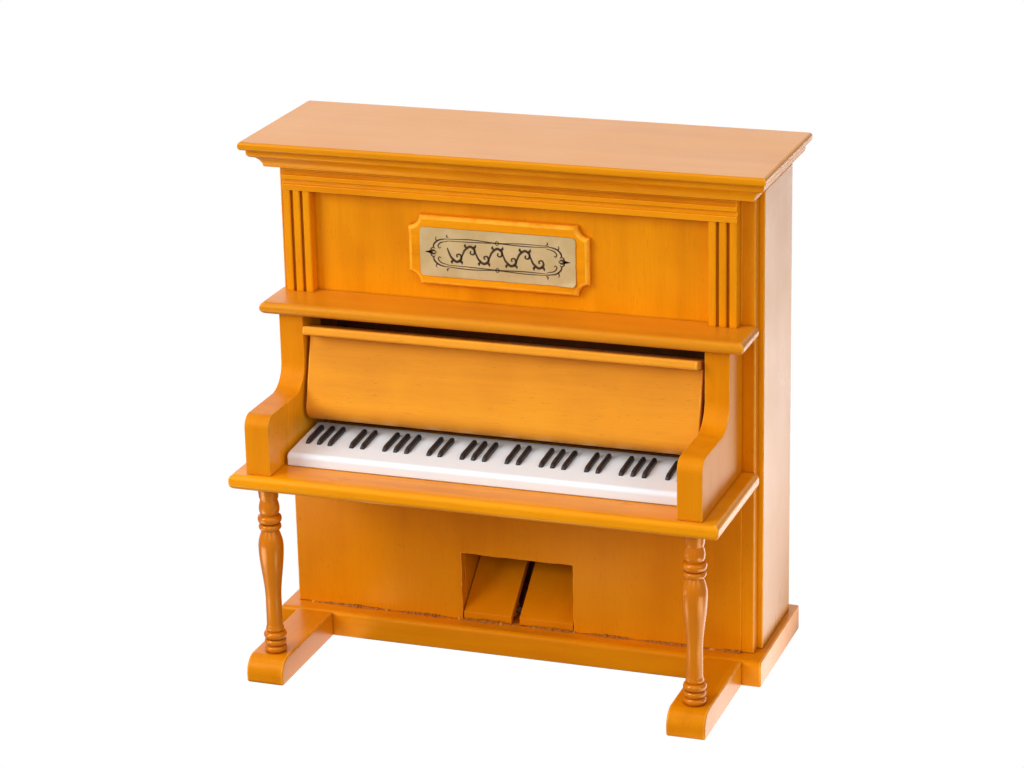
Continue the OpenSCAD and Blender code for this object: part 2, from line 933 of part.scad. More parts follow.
// the note cylinder, with its pins in one row for each note
module note_cylinder() {
    color(brass)
        translate([0, cyl_y, arbor_z]) {
            difference() {
                bar_x(cyl_from, cyl_to, 0, 0, cyl_r);
                bar_x(cyl_from - 1, cyl_to + 1, 0, 0, cyl_shaft_r);
            }
            for (i = [0:notes - 1], k = [0:pins_per_note - 1])
                translate([cyl_from + note_margin + i * note_pitch, 0, 0])
                    rotate([i * golden_turn + k * 360 / pins_per_note, 0, 0])
                        translate([0, 0, cyl_r - 0.5]) cylinder(r = cyl_pin_r, h = cyl_pin + 0.5);
        }
}

// a straight-sided gear outline: width holds a tooth's width at the root and at the tip
module gear_outline(teeth, root, tip, width, turn) {
    wide = width[0] / 2;
    narrow = width[1] / 2;
    circle(root);
    for (i = [0:teeth - 1])
        rotate(turn + i * 360 / teeth)
            polygon([[0, -wide], [root, -wide], [tip, -narrow], [tip, narrow], [root, wide],
                     [0, wide]]);
}

gear_module = 0.38;
cyl_gear_teeth = 40;
gov_pinion_teeth = 10;
mesh_gap = 0.05;
gear_add = 0.3;
gear_ded = 0.42;
thin_shaft_r = 0.5;
cyl_pinion_from = 11.5;
cyl_pinion_to = 13.1;
cyl_pinion_tip = 3.95;
cyl_pinion_root = 3.1;
cyl_pinion_leaf = [0.75, 0.4];
gear_tooth = [0.5, 0.26];
cyl_gear_from = cyl_to + 0.1;
cyl_gear_to = cyl_to + 1.5;
shaft_end = 38.2;

// the shaft through the cylinder, with the driving pinion and the large end wheel
module cylinder_wheels() {
    pitch_r = gear_module * cyl_gear_teeth / 2;
    color(steel)
        translate([0, cyl_y, arbor_z]) {
            bar_x(cyl_pinion_from, shaft_end, 0, 0, cyl_shaft_r);
            across(cyl_pinion_from, cyl_pinion_to)
                gear_outline(pinion_leaves, cyl_pinion_root, cyl_pinion_tip, cyl_pinion_leaf,
                             180 / pinion_leaves);
            across(cyl_gear_from, cyl_gear_to)
                gear_outline(cyl_gear_teeth, pitch_r - gear_ded, pitch_r + gear_add,
                             gear_tooth, 90);
        }
}

bearing_r = 2.2;
bearing_width = 1.5;
bearing_x = [13.5, 36.2];

// the two posts that the cylinder's shaft runs in
module cylinder_bearings() {
    color(brass)
        for (x = bearing_x)
            difference() {
                union() {
                    bar_x(x, x + bearing_width, cyl_y, arbor_z, bearing_r);
                    block([x, cyl_y, arbor_z - bearing_r],
                          [x + bearing_width, plate_face, arbor_z + bearing_r]);
                }
                bar_x(x - 1, x + bearing_width + 1, cyl_y, arbor_z, cyl_shaft_r + run_gap);
            }
}

comb_thickness = 0.8;
comb_tip = arbor_z - cyl_r - cyl_pin - 0.25;
comb_low = plate_low[1] + 1;
comb_heel_top = comb_low + 5;
comb_slot = 0.3;
comb_taper = 0.18;
comb_screw_r = 0.9;
comb_screw_head_r = 1.7;
comb_screw_head = 1;
comb_screw_length = 4;
comb_screw_slot = 0.4;
comb_screw_z = comb_low + 2.4;
comb_screw_x = [cyl_from + 3.5, cyl_to - 3.5];

// the steel comb: one tooth to each note
module note_comb() {
    color(steel)
        difference() {
            block([cyl_from, cyl_y - comb_thickness / 2, comb_low],
                  [cyl_to, cyl_y + comb_thickness / 2, comb_tip]);
            for (i = [1:notes - 1])
                translate([cyl_from + note_margin + (i - 0.5) * note_pitch, 0, 0])
                    block([-comb_slot / 2, cyl_y - comb_thickness, comb_heel_top + i * comb_taper],
                          [comb_slot / 2, cyl_y + comb_thickness, comb_tip + 1]);
            for (x = comb_screw_x)
                bar_y(cyl_y - comb_thickness, cyl_y + comb_thickness, x, comb_screw_z, comb_screw_r);
        }
}

module comb_base() {
    color(brass)
        difference() {
            block([cyl_from, cyl_y + comb_thickness / 2, comb_low],
                  [cyl_to, plate_face, comb_heel_top - 0.4]);
            for (x = comb_screw_x)
                bar_y(cyl_y, cyl_y + comb_screw_length + 1, x, comb_screw_z, comb_screw_r);
        }
}

module comb_screws() {
    seat = cyl_y - comb_thickness / 2;
    top = seat - comb_screw_head;
    reach = comb_screw_head_r + 1;
    color(steel)
        for (x = comb_screw_x)
            difference() {
                union() {
                    bar_y(seat, seat + comb_screw_length, x, comb_screw_z, comb_screw_r);
                    bar_y(top, seat, x, comb_screw_z, comb_screw_head_r);
                }
                block([x - reach, top - 1, comb_screw_z - comb_screw_slot / 2],
                      [x + reach, top + comb_screw_head / 2, comb_screw_z + comb_screw_slot / 2]);
            }
}

gov_z = arbor_z + gear_module * (cyl_gear_teeth + gov_pinion_teeth) / 2 + mesh_gap;
gov_wheel_r = 2.25;
gov_wheel_teeth = 12;
gov_wheel_width = 1.8;
gov_tooth = [0.5, 0.3];
gov_tooth_depth = 0.5;
gov_wall = 1.2;
gov_left = 24;
gov_right = 33.2;
gov_low = gov_z - 1.8;
gov_cheek_top = gov_z + 2;
fly_x = 28.6;
worm_r = 1.1;
worm_gap = 0.15;
fly_z = gov_z + gov_wheel_r + worm_r + worm_gap;
gov_high = fly_z + 2;
gov_plate_front = plate_face - 18;
fly_front = gov_plate_front + gov_wall + 0.6;

// the governor's bracket: two cheeks for the wheel's shaft and a plate for the fly's
module governor_frame() {
    color(brass)
        difference() {
            union() {
                for (x = [gov_left, gov_right - gov_wall])
                    block([x, gov_plate_front, gov_low], [x + gov_wall, plate_face, gov_cheek_top]);
                block([gov_left, gov_plate_front, gov_low],
                      [gov_right, gov_plate_front + gov_wall, gov_high]);
            }
            bar_x(gov_left - 1, gov_right + 1, cyl_y, gov_z, thin_shaft_r + run_gap);
            bar_y(gov_plate_front - 1, gov_plate_front + gov_wall + 1, fly_x, fly_z,
                  thin_shaft_r + run_gap);
        }
}

// the wheel and pinion between the cylinder and the fly
module governor_wheel() {
    pitch_r = gear_module * gov_pinion_teeth / 2;
    color(brass)
        translate([0, cyl_y, gov_z]) {
            bar_x(gov_left, cyl_gear_to - 0.1, 0, 0, thin_shaft_r);
            across(cyl_gear_from + 0.1, cyl_gear_to - 0.1)
                gear_outline(gov_pinion_teeth, pitch_r - gear_ded, pitch_r + gear_add,
                             gear_tooth, 270 + 180 / gov_pinion_teeth);
            across(fly_x - gov_wheel_width / 2, fly_x + gov_wheel_width / 2)
                gear_outline(gov_wheel_teeth, gov_wheel_r - gov_tooth_depth, gov_wheel_r,
                             gov_tooth, 90);
        }
}

fly_span = 3.2;
fly_blade = 3.2;
fly_sheet = 0.4;
fly_hub_r = 0.9;
fly_tail = 0.8;
worm_turns = 6;
worm_pitch = PI * (2 * gov_wheel_r - gov_tooth_depth) / gov_wheel_teeth;
worm_thread = 0.4;
worm_tilt = 10;

// the fly: a worm shaft with two blades that beat the air
module fly() {
    color(steel)
        translate([fly_x, 0, fly_z]) {
            bar_y(gov_plate_front, plate_face + fly_tail, 0, 0, thin_shaft_r);
            for (turn = [0:worm_turns - 1])
                translate([0, cyl_y + (turn - (worm_turns - 1) / 2) * worm_pitch, 0])
                    rotate([-90 + worm_tilt, 0, 0])
                        cylinder(r = worm_r, h = worm_thread, center = true);
            bar_y(fly_front, fly_front + fly_blade, 0, 0, fly_hub_r);
            block([-fly_span, fly_front, -fly_sheet / 2],
                  [fly_span, fly_front + fly_blade, fly_sheet / 2]);
        }
}

base_board();
toe_left();
toe_right();
leg_left();
leg_right();
side_panel_left();
side_panel_right();
stile_left();
stile_right();
lower_panel();
middle_rail();
upper_panel();
back_panel();
back_screws();
corner_blocks();
lid_board();
crown_front();
crown_left();
crown_right();
frieze_moulding();
pilaster_left();
pilaster_right();
plaque_board();
label_plate();
shelf_board();
cheek_left();
cheek_right();
key_bed();
keyboard_plate();
black_keys();
fallboard();
fallboard_lip();
fallboard_pins();
fallboard_rest_rail();
pedal_wall_left();
pedal_wall_right();
treadle_left();
treadle_right();
treadle_rod();
movement_plate();
movement_screws();
barrel_bridge();
winding_arbor();
winding_key();
spring_barrel();
mainspring();
note_cylinder();
cylinder_wheels();
cylinder_bearings();
note_comb();
comb_base();
comb_screws();
governor_frame();
governor_wheel();
fly();
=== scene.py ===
"""Looks for a wooden music box in the form of a miniature upright player piano.

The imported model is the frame. Most boards and mouldings are copies of their CAD solids with
sanded arrises. The legs, the plaque's rounded edge, the black keys, the label with its ornament
and the glue are made here, and the movement keeps its CAD solids.
Lengths are in metres unless a name or a docstring says millimetres, and MM turns millimetres
into metres.
"""

import json
import math
import random

import bmesh
import bpy
import numpy as np
from mathutils import Euler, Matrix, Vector, noise


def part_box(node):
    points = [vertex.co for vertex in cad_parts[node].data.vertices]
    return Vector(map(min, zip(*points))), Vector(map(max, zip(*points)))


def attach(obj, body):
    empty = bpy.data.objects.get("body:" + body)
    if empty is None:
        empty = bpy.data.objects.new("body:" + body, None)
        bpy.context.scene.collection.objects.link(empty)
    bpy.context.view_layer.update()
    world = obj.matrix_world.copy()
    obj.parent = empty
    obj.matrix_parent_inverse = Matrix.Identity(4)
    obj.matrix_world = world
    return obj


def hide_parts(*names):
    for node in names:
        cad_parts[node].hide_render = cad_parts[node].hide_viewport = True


MM = 0.001
X, Y, Z = 0, 1, 2
WHITE = (1, 1, 1, 1)

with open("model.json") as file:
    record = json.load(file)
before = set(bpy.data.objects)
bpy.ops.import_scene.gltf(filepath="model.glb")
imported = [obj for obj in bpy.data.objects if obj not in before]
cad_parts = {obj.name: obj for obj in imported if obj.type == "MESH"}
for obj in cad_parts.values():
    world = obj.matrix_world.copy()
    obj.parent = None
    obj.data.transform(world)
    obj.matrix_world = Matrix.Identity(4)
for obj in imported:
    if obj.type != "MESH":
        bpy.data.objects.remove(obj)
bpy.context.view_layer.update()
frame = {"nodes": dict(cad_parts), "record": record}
NODES = frame["nodes"]
BODY = {n: body for body, nodes in frame["record"]["behaviour"]["bodies"].items() for n in nodes}
SLOT = {part["node"]: part["material_slot"] for part in frame["record"]["subparts"]}


# ---- camera, light and stage -------------------------------------------------------------------

# fitted to the photograph: focal length and place in millimetres, rotation in degrees
CAMERA_LENS = 108.9
CAMERA_PLACE = (283.507, -801.381, 374.612)
CAMERA_ROTATION = (71.032, 1.197, 19.233)

STUDIO_LIGHT = 0.34

# name: place, target, size and radiance
SOFTBOXES = {
    "front_left": ((-0.70, -0.72, 0.62), (0, 0, 0.08), (0.50, 0.55), 8.5),
    "front_right": ((0.16, -1.06, 0.52), (0, 0, 0.08), (0.35, 0.4), 3.6),
    "strip_right": ((0.90, -0.27, 0.35), (0, 0, 0.08), (0.04, 0.6), 6.0),
    "overhead": ((-0.15, -0.32, 0.85), (0, 0, 0.1), (0.9, 0.14), 5.0),
    "right": ((0.72, -0.50, 0.42), (0, 0, 0.08), (0.4, 0.4), 2.7),
    "back_wall": ((-0.30, 0.90, 0.42), (0, 0, 0.1), (1.4, 0.6), 1.1),
}

FLOOR_HALF = 3.0
FLOOR_GREY = 0.32
FLOOR_BAND_GLOW = 4.4
# the share of the floor's glow that matt surfaces get, where varnish mirrors all of it
FLOOR_MATT_SHARE = 0.35
# round patches of the floor that varnish mirrors: x, y, radius and strength
FLOOR_PATCHES = ((-0.140, -0.105, 0.060, 5), (0.002, -0.072, 0.026, 2.6),
                 (0.145, -0.072, 0.050, 5))


def make_camera():
    """The photograph's view: from the front, a little to the right and above."""
    data = bpy.data.cameras.new("camera")
    data.sensor_width = 36
    data.lens = CAMERA_LENS
    camera = bpy.data.objects.new("camera", data)
    camera.location = Vector(CAMERA_PLACE) * MM
    camera.rotation_euler = Euler(map(math.radians, CAMERA_ROTATION))
    data.clip_start = 10 * MM
    bpy.context.scene.collection.objects.link(camera)
    bpy.context.scene.camera = camera


def softbox(name, place, target, size, radiance):
    """A rectangular light of an even radiance, aimed at target and hidden from the camera."""
    data = bpy.data.lights.new(name, "AREA")
    data.shape = "RECTANGLE"
    data.size, data.size_y = size
    data.energy = radiance * math.pi * size[0] * size[1]
    lamp = bpy.data.objects.new(name, data)
    lamp.location = place
    lamp.rotation_euler = (Vector(target) - Vector(place)).to_track_quat("-Z", "Y").to_euler()
    lamp.visible_camera = False
    bpy.context.scene.collection.objects.link(lamp)


def make_world():
    """An even white studio, plain white to the eye and dimmer as a light."""
    world = bpy.data.worlds.new("studio")
    world.use_nodes = True
    tree = world.node_tree
    tree.nodes.clear()
    to_eye = node(tree, "ShaderNodeLightPath").outputs["Is Camera Ray"]
    seen = node(tree, "ShaderNodeBackground", {"Color": WHITE, "Strength": 1.0})
    lights = node(tree, "ShaderNodeBackground", {"Color": WHITE, "Strength": STUDIO_LIGHT})
    mix = node(tree, "ShaderNodeMixShader", {0: to_eye, 1: lights.outputs[0], 2: seen.outputs[0]})
    node(tree, "ShaderNodeOutputWorld", {"Surface": mix.outputs[0]})
    bpy.context.scene.world = world


def floor_glow(tree):
    """How brightly each place of the floor lights the object, mostly by reflection in varnish."""
    place = node(tree, "ShaderNodeTexCoord").outputs["Object"]
    parts = node(tree, "ShaderNodeSeparateXYZ", {0: place})
    across, deep = parts.outputs["X"], parts.outputs["Y"]

    # a slanting band along the right side, and a strip beside the left toe
    slanted = combined(tree, "SUBTRACT", across, combined(tree, "MULTIPLY", deep, 0.25))
    inner = spread(tree, slanted, 0.062, 0.078)
    outer = spread(tree, slanted, 0.17, 0.12)
    band = combined(tree, "MULTIPLY", combined(tree, "MULTIPLY", inner, outer),
                    spread(tree, deep, -0.06, 0.20, 0.5, 1))
    strip = combined(tree, "MULTIPLY", spread(tree, across, -0.046, -0.052),
                     spread(tree, across, -0.060, -0.058, 0, 0.4))
    past_front = spread(tree, deep, -0.055, -0.045)
    bright = combined(tree, "MULTIPLY", combined(tree, "MAXIMUM", band, strip), past_front)

    behind = spread(tree, deep, 0.0, 0.3, 0.05, 0.35)
    glow = combined(tree, "ADD", combined(tree, "MULTIPLY", bright, FLOOR_BAND_GLOW), behind)
    for x, y, radius, strength in FLOOR_PATCHES:
        away = node(tree, "ShaderNodeVectorMath", {0: place, 1: (x, y, 0)}, operation="DISTANCE")
        patch = spread(tree, away.outputs["Value"], radius, 0.4 * radius, 0, strength)
        glow = combined(tree, "ADD", glow, patch)
    glossy = node(tree, "ShaderNodeLightPath").outputs["Is Glossy Ray"]
    return combined(tree, "MULTIPLY", glow, spread(tree, glossy, 0, 1, FLOOR_MATT_SHARE, 1))


def make_floor():
    """A table that is plain white to the eye, without shadows, and glows on the object."""
    corners = [(-FLOOR_HALF, -FLOOR_HALF, 0), (FLOOR_HALF, -FLOOR_HALF, 0),
               (FLOOR_HALF, FLOOR_HALF, 0), (-FLOOR_HALF, FLOOR_HALF, 0)]
    mesh = bpy.data.meshes.new("floor")
    mesh.from_pydata(corners, [], [(0, 1, 2, 3)])
    tree, material = new_material("white_table")
    skin = node(tree, "ShaderNodeBsdfPrincipled",
                {"Base Color": rgba((FLOOR_GREY,) * 3), "Roughness": 0.8,
                 "Specular IOR Level": 0.0, "Emission Color": WHITE,
                 "Emission Strength": floor_glow(tree)})
    plain = node(tree, "ShaderNodeEmission", {"Color": WHITE, "Strength": 1.0})
    to_eye = node(tree, "ShaderNodeLightPath").outputs["Is Camera Ray"]
    mix = node(tree, "ShaderNodeMixShader", {0: to_eye, 1: skin.outputs[0], 2: plain.outputs[0]})
    node(tree, "ShaderNodeOutputMaterial", {"Surface": mix.outputs[0]})
    mesh.materials.append(material)
    floor = bpy.data.objects.new("floor", mesh)
    bpy.context.scene.collection.objects.link(floor)


# ---- node trees --------------------------------------------------------------------------------


def node(tree, kind, inputs=None, **settings):
    """Adds a node; an input may be a value or another node's output."""
    made = tree.nodes.new(kind)
    for key, value in settings.items():
        setattr(made, key, value)
    for key, value in (inputs or {}).items():
        if isinstance(value, bpy.types.NodeSocket):
            tree.links.new(value, made.inputs[key])
        else:
            made.inputs[key].default_value = value
    return made


def new_material(name):
    material = bpy.data.materials.new(name)
    material.use_nodes = True
    material.node_tree.nodes.clear()
    return material.node_tree, material


def rgba(colour):
    return (*colour, 1)


def coordinates(tree, scale, shift=(0, 0, 0)):
    """The piece's own coordinates in millimetres, scaled along each axis."""
    place = node(tree, "ShaderNodeTexCoord").outputs["Object"]
    factor = [k / MM for k in scale]
    return node(tree, "ShaderNodeVectorMath", {0: place, 1: factor, 2: shift},
                operation="MULTIPLY_ADD").outputs[0]


def clouds(tree, vector, detail=3.0, rough=0.55, distort=0.0):
    return node(tree, "ShaderNodeTexNoise",
                {"Vector": vector, "Scale": 1.0, "Detail": detail, "Roughness": rough,
                 "Distortion": distort}).outputs["Fac"]


def spread(tree, value, low, high, to_low=0.0, to_high=1.0):
    """Eases a value from the range low..high to the range to_low..to_high, and clamps it."""
    return node(tree, "ShaderNodeMapRange",
                {"Value": value, "From Min": low, "From Max": high, "To Min": to_low,
                 "To Max": to_high}, interpolation_type="SMOOTHSTEP").outputs["Result"]


def blended(tree, amount, first, second):
    """Mixes two colours; each is a colour or a socket."""
    mix = tree.nodes.new("ShaderNodeMix")
    mix.data_type = "RGBA"
    for index, value in ((0, amount), (6, first), (7, second)):
        if isinstance(value, bpy.types.NodeSocket):
            tree.links.new(value, mix.inputs[index])
        else:
            mix.inputs[index].default_value = value if index == 0 else rgba(value)
    return mix.outputs[2]


def combined(tree, operation, first, second):
    return node(tree, "ShaderNodeMath", {0: first, 1: second}, operation=operation).outputs[0]


def bumped(tree, height, depth, below=None):
    inputs = {"Height": height, "Strength": 1.0, "Distance": depth * MM}
    if below is not None:
        inputs["Normal"] = below
    return node(tree, "ShaderNodeBump", inputs).outputs["Normal"]


# ---- wood --------------------------------------------------------------------------------------

HONEY = {"light": (0.93, 0.355, 0.004), "mid": (0.85, 0.300, 0.002), "dark": (0.62, 0.185, 0.001)}

# sizes of the wood's marks in millimetres, across and along the grain or the same all round
FIBRE, FLECK = (0.45, 9), (0.36, 2.4)
BLOTCH, WEAR_AND_HIGHLIGHT_PATCH, SHEEN_PATCH, RIPPLE = 24, 3.5, 30, 2.6
# rings that the lathe leaves, to a millimetre of height
LATHE_RINGS = 2.6
# a ring's length along the grain, in widths of the ring
RING_LENGTH = 16
# shares of rings and blotches in the stain's lights and darks, and of fibres and pores over them
RING_SHARE, BLOTCH_SHARE, FIBRE_SHARE, PORE_SHARE = 0.62, 0.38, 0.16, 0.26
# where the stain's dark, middle and light tones lie, and how strongly figure brings them out
TONE_STOPS, FIGURE_CONTRAST = (0.34, 0.5, 0.66), 0.6
# where the marks start and where they are full, as values of their clouds
PORE_RANGE, FIBRE_RANGE = (0.66, 0.80), (0.42, 0.72)
WEAR_AND_HIGHLIGHT_RANGE, SHEEN_RANGE = (0.3, 0.65), (0.4, 0.9)
# the least wear and painted highlight on an edge, as a share of the most
LEAST_WEAR_AND_HIGHLIGHT = 0.35
# open sky over a nook where the pooled stain and painted shade start and where they are full
NOOK_RANGE = (0.80, 0.35)
# depths of the relief in millimetres
RIPPLE_DEPTH, GRAIN_DEPTH, LATHE_DEPTH = 0.03, 0.008, 0.012
# what thin stain and a painted highlight add to the light tone on edges, and what pooled stain and
# painted shade leave of the dark one in nooks
THIN_STAIN_AND_HIGHLIGHT = (0.10, 0.10, 0.03)
POOLED_STAIN_AND_SHADE = (0.5, 0.3, 0.3)
PORE_STAIN = 0.5
# how far the fibres show in the varnish, and how much rougher it is in nooks, where stain pools and
# shade is painted
FIBRE_IN_SHEEN, NOOK_ROUGHNESS = 0.3, 0.3


def tinted(tone, factor, towards=None, share=0.0):
    """A set of stain colours, darker or lighter than tone, and drawn towards another colour."""
    made = {}
    for key, colour in tone.items():
        colour = [min(1.0, c * factor) for c in colour]
        if towards:
            colour = [c + (t - c) * share for c, t in zip(colour, towards)]
        made[key] = tuple(colour)
    return made


def wood(name, tone, grain, figure=1.0, band=5.0, gloss=(0.27, 0.33), seed=0.0,
         tint=(1.0, 0.50, 0.18), arris=0.85, stain_and_shade_pool=(1.3, 0.5), ior=1.5, turned=False):
    """Stained and varnished wood whose grain runs along one axis of the piece.

    figure is how strongly the grain shows, band the width of its rings in millimetres, gloss
    the lowest and highest roughness, tint the colour of the varnish's shine, arris how far edges
    are lightened, partly as stain rubbed through and partly as a painted highlight, and
    stain_and_shade_pool the reach in millimetres and the share of the darkening in nooks,
    partly pooled stain and partly painted shade.
    """
    tree, material = new_material(name)

    def stretched(across, along, shift):
        scale = [1 / across] * 3
        scale[grain] = 1 / along
        return coordinates(tree, scale, (seed + shift, seed * 0.7 + shift, seed * 1.3 - shift))

    def even(size, shift):
        return coordinates(tree, (1 / size,) * 3, shift)

    def share(value, amount):
        return combined(tree, "MULTIPLY", value, amount)

    blotch = clouds(tree, even(BLOTCH, (seed, seed, seed)), detail=2)
    rings = clouds(tree, stretched(band, RING_LENGTH * band, 3.1), detail=4, rough=0.55,
                   distort=0.5)
    fibre = clouds(tree, stretched(*FIBRE, 7.7), detail=3, rough=0.6)
    flecks = clouds(tree, stretched(*FLECK, 1.9), detail=1, rough=0.5)
    pores = spread(tree, flecks, *PORE_RANGE)

    stain = combined(tree, "ADD", share(rings, RING_SHARE), share(blotch, BLOTCH_SHARE))
    ramp = node(tree, "ShaderNodeValToRGB", {"Fac": stain})
    dark_stop, mid_stop, light_stop = TONE_STOPS
    stops = ramp.color_ramp
    stops.elements[0].position = dark_stop
    stops.elements[0].color = rgba(tone["dark"])
    stops.elements[1].position = light_stop
    stops.elements[1].color = rgba(tone["light"])
    stops.elements.new(mid_stop).color = rgba(tone["mid"])
    plain = blended(tree, 1 - FIGURE_CONTRAST * figure, ramp.outputs["Color"], tone["mid"])
    streaks = share(spread(tree, fibre, *FIBRE_RANGE), FIBRE_SHARE * figure)
    streaked = blended(tree, streaks, plain, tone["dark"])
    pore_tone = tuple(PORE_STAIN * c for c in tone["dark"])
    flecked = blended(tree, share(pores, PORE_SHARE * figure), streaked, pore_tone)

    # edges are lightened towards a thin-stain tone: partly real wear, partly a painted highlight
    edge_mask = node(tree, "ShaderNodeAttribute", attribute_name="arris").outputs["Fac"]
    patchy = spread(tree, clouds(tree, even(WEAR_AND_HIGHLIGHT_PATCH, (seed, 1, 2))), *WEAR_AND_HIGHLIGHT_RANGE, LEAST_WEAR_AND_HIGHLIGHT)
    worn_and_highlit = share(combined(tree, "MULTIPLY", edge_mask, patchy), arris)
    thin_stain_and_highlight_tone = tuple(min(1, c + more) for c, more in zip(tone["light"], THIN_STAIN_AND_HIGHLIGHT))
    edged = blended(tree, worn_and_highlit, flecked, thin_stain_and_highlight_tone)

    # the ambient occlusion darkens nooks towards the dark tone: partly pooled stain, partly painted
    # shade
    reach, stain_and_shade_share = stain_and_shade_pool
    nook = node(tree, "ShaderNodeAmbientOcclusion", {"Distance": reach * MM}, samples=6)
    pooled_stain_and_shade = share(spread(tree, nook.outputs["AO"], *NOOK_RANGE), stain_and_shade_share)
    stain_and_shade_tone = tuple(c * left for c, left in zip(tone["dark"], POOLED_STAIN_AND_SHADE))
    colour = blended(tree, pooled_stain_and_shade, edged, stain_and_shade_tone)

    sheen = clouds(tree, even(SHEEN_PATCH, (seed, 4, seed)), detail=2)
    sheen_and_fibre = combined(tree, "ADD", sheen, share(fibre, FIBRE_IN_SHEEN))
    varnish = spread(tree, sheen_and_fibre, *SHEEN_RANGE, *gloss)
    roughness = combined(tree, "ADD", varnish, share(pooled_stain_and_shade, NOOK_ROUGHNESS))
    waves = clouds(tree, even(RIPPLE, (seed, 9, 1)), detail=2)
    grain_relief = combined(tree, "SUBTRACT", fibre, pores)
    normal = bumped(tree, grain_relief, GRAIN_DEPTH, bumped(tree, waves, RIPPLE_DEPTH))
    if turned:
        rounds = clouds(tree, coordinates(tree, (0.02, 0.02, LATHE_RINGS), (seed, 0, 0)), detail=2)
        normal = bumped(tree, rounds, LATHE_DEPTH, normal)
    skin = node(tree, "ShaderNodeBsdfPrincipled",
                {"Base Color": colour, "Roughness": roughness, "Normal": normal, "IOR": ior,
                 "Specular Tint": rgba(tint)})
    node(tree, "ShaderNodeOutputMaterial", {"Surface": skin.outputs[0]})
    return material


# ---- plastic, metal, foil and ink --------------------------------------------------------------

# how much smoother worn edges are, and the range of the clouds that mixes the two colours
POLISHED = 0.06
CLOUD_RANGE = (0.3, 0.7)


def coated(name, colour, other, roughness, size, relief, metallic=0.0, ior=1.5):
    """Paint, plastic, metal or glue: a cloudy mix of two colours with a fine relief.

    roughness is its lowest and highest value, size that of the clouds and relief the depth of
    the relief, both in millimetres. Worn edges shine a little more.
    """
    tree, material = new_material(name)
    large = clouds(tree, coordinates(tree, (1 / size,) * 3), detail=4)
    fine = clouds(tree, coordinates(tree, (6 / size,) * 3, (5, 2, 8)), detail=3, rough=0.7)
    colour = blended(tree, spread(tree, large, *CLOUD_RANGE), colour, other)
    rough = spread(tree, fine, *CLOUD_RANGE, *roughness)
    edge_mask = node(tree, "ShaderNodeAttribute", attribute_name="arris").outputs["Fac"]
    rough = combined(tree, "SUBTRACT", rough, combined(tree, "MULTIPLY", edge_mask, POLISHED))
    skin = node(tree, "ShaderNodeBsdfPrincipled",
                {"Base Color": colour, "Roughness": rough, "Normal": bumped(tree, fine, relief),
                 "Metallic": metallic, "IOR": ior})
    node(tree, "ShaderNodeOutputMaterial", {"Surface": skin.outputs[0]})
    return material


# stain tones; they differ a little from board to board, to match the photograph's colours,
# and LOWER and SHADED are also darkened as painted shade
# the lower panel and stiles are darker and redder: partly their own tone, partly painted shade
# under the key bed
LOWER = tinted(HONEY, 0.93, (0.74, 0.19, 0.0), 0.45)
PALE = tinted(HONEY, 1.0, (0.90, 0.40, 0.08), 0.25)
DEEP = tinted(HONEY, 0.80, (0.62, 0.10, 0.0), 0.45)
SHADED = tinted(HONEY, 0.80, (0.55, 0.14, 0.0), 0.3)
BARE = {"light": (0.80, 0.56, 0.32), "mid": (0.70, 0.46, 0.24), "dark": (0.52, 0.31, 0.14)}
WARM = (1.0, 0.62, 0.25)
DRY = {"gloss": (0.55, 0.8), "tint": (1, 1, 1), "arris": 0.2, "figure": 1.4}

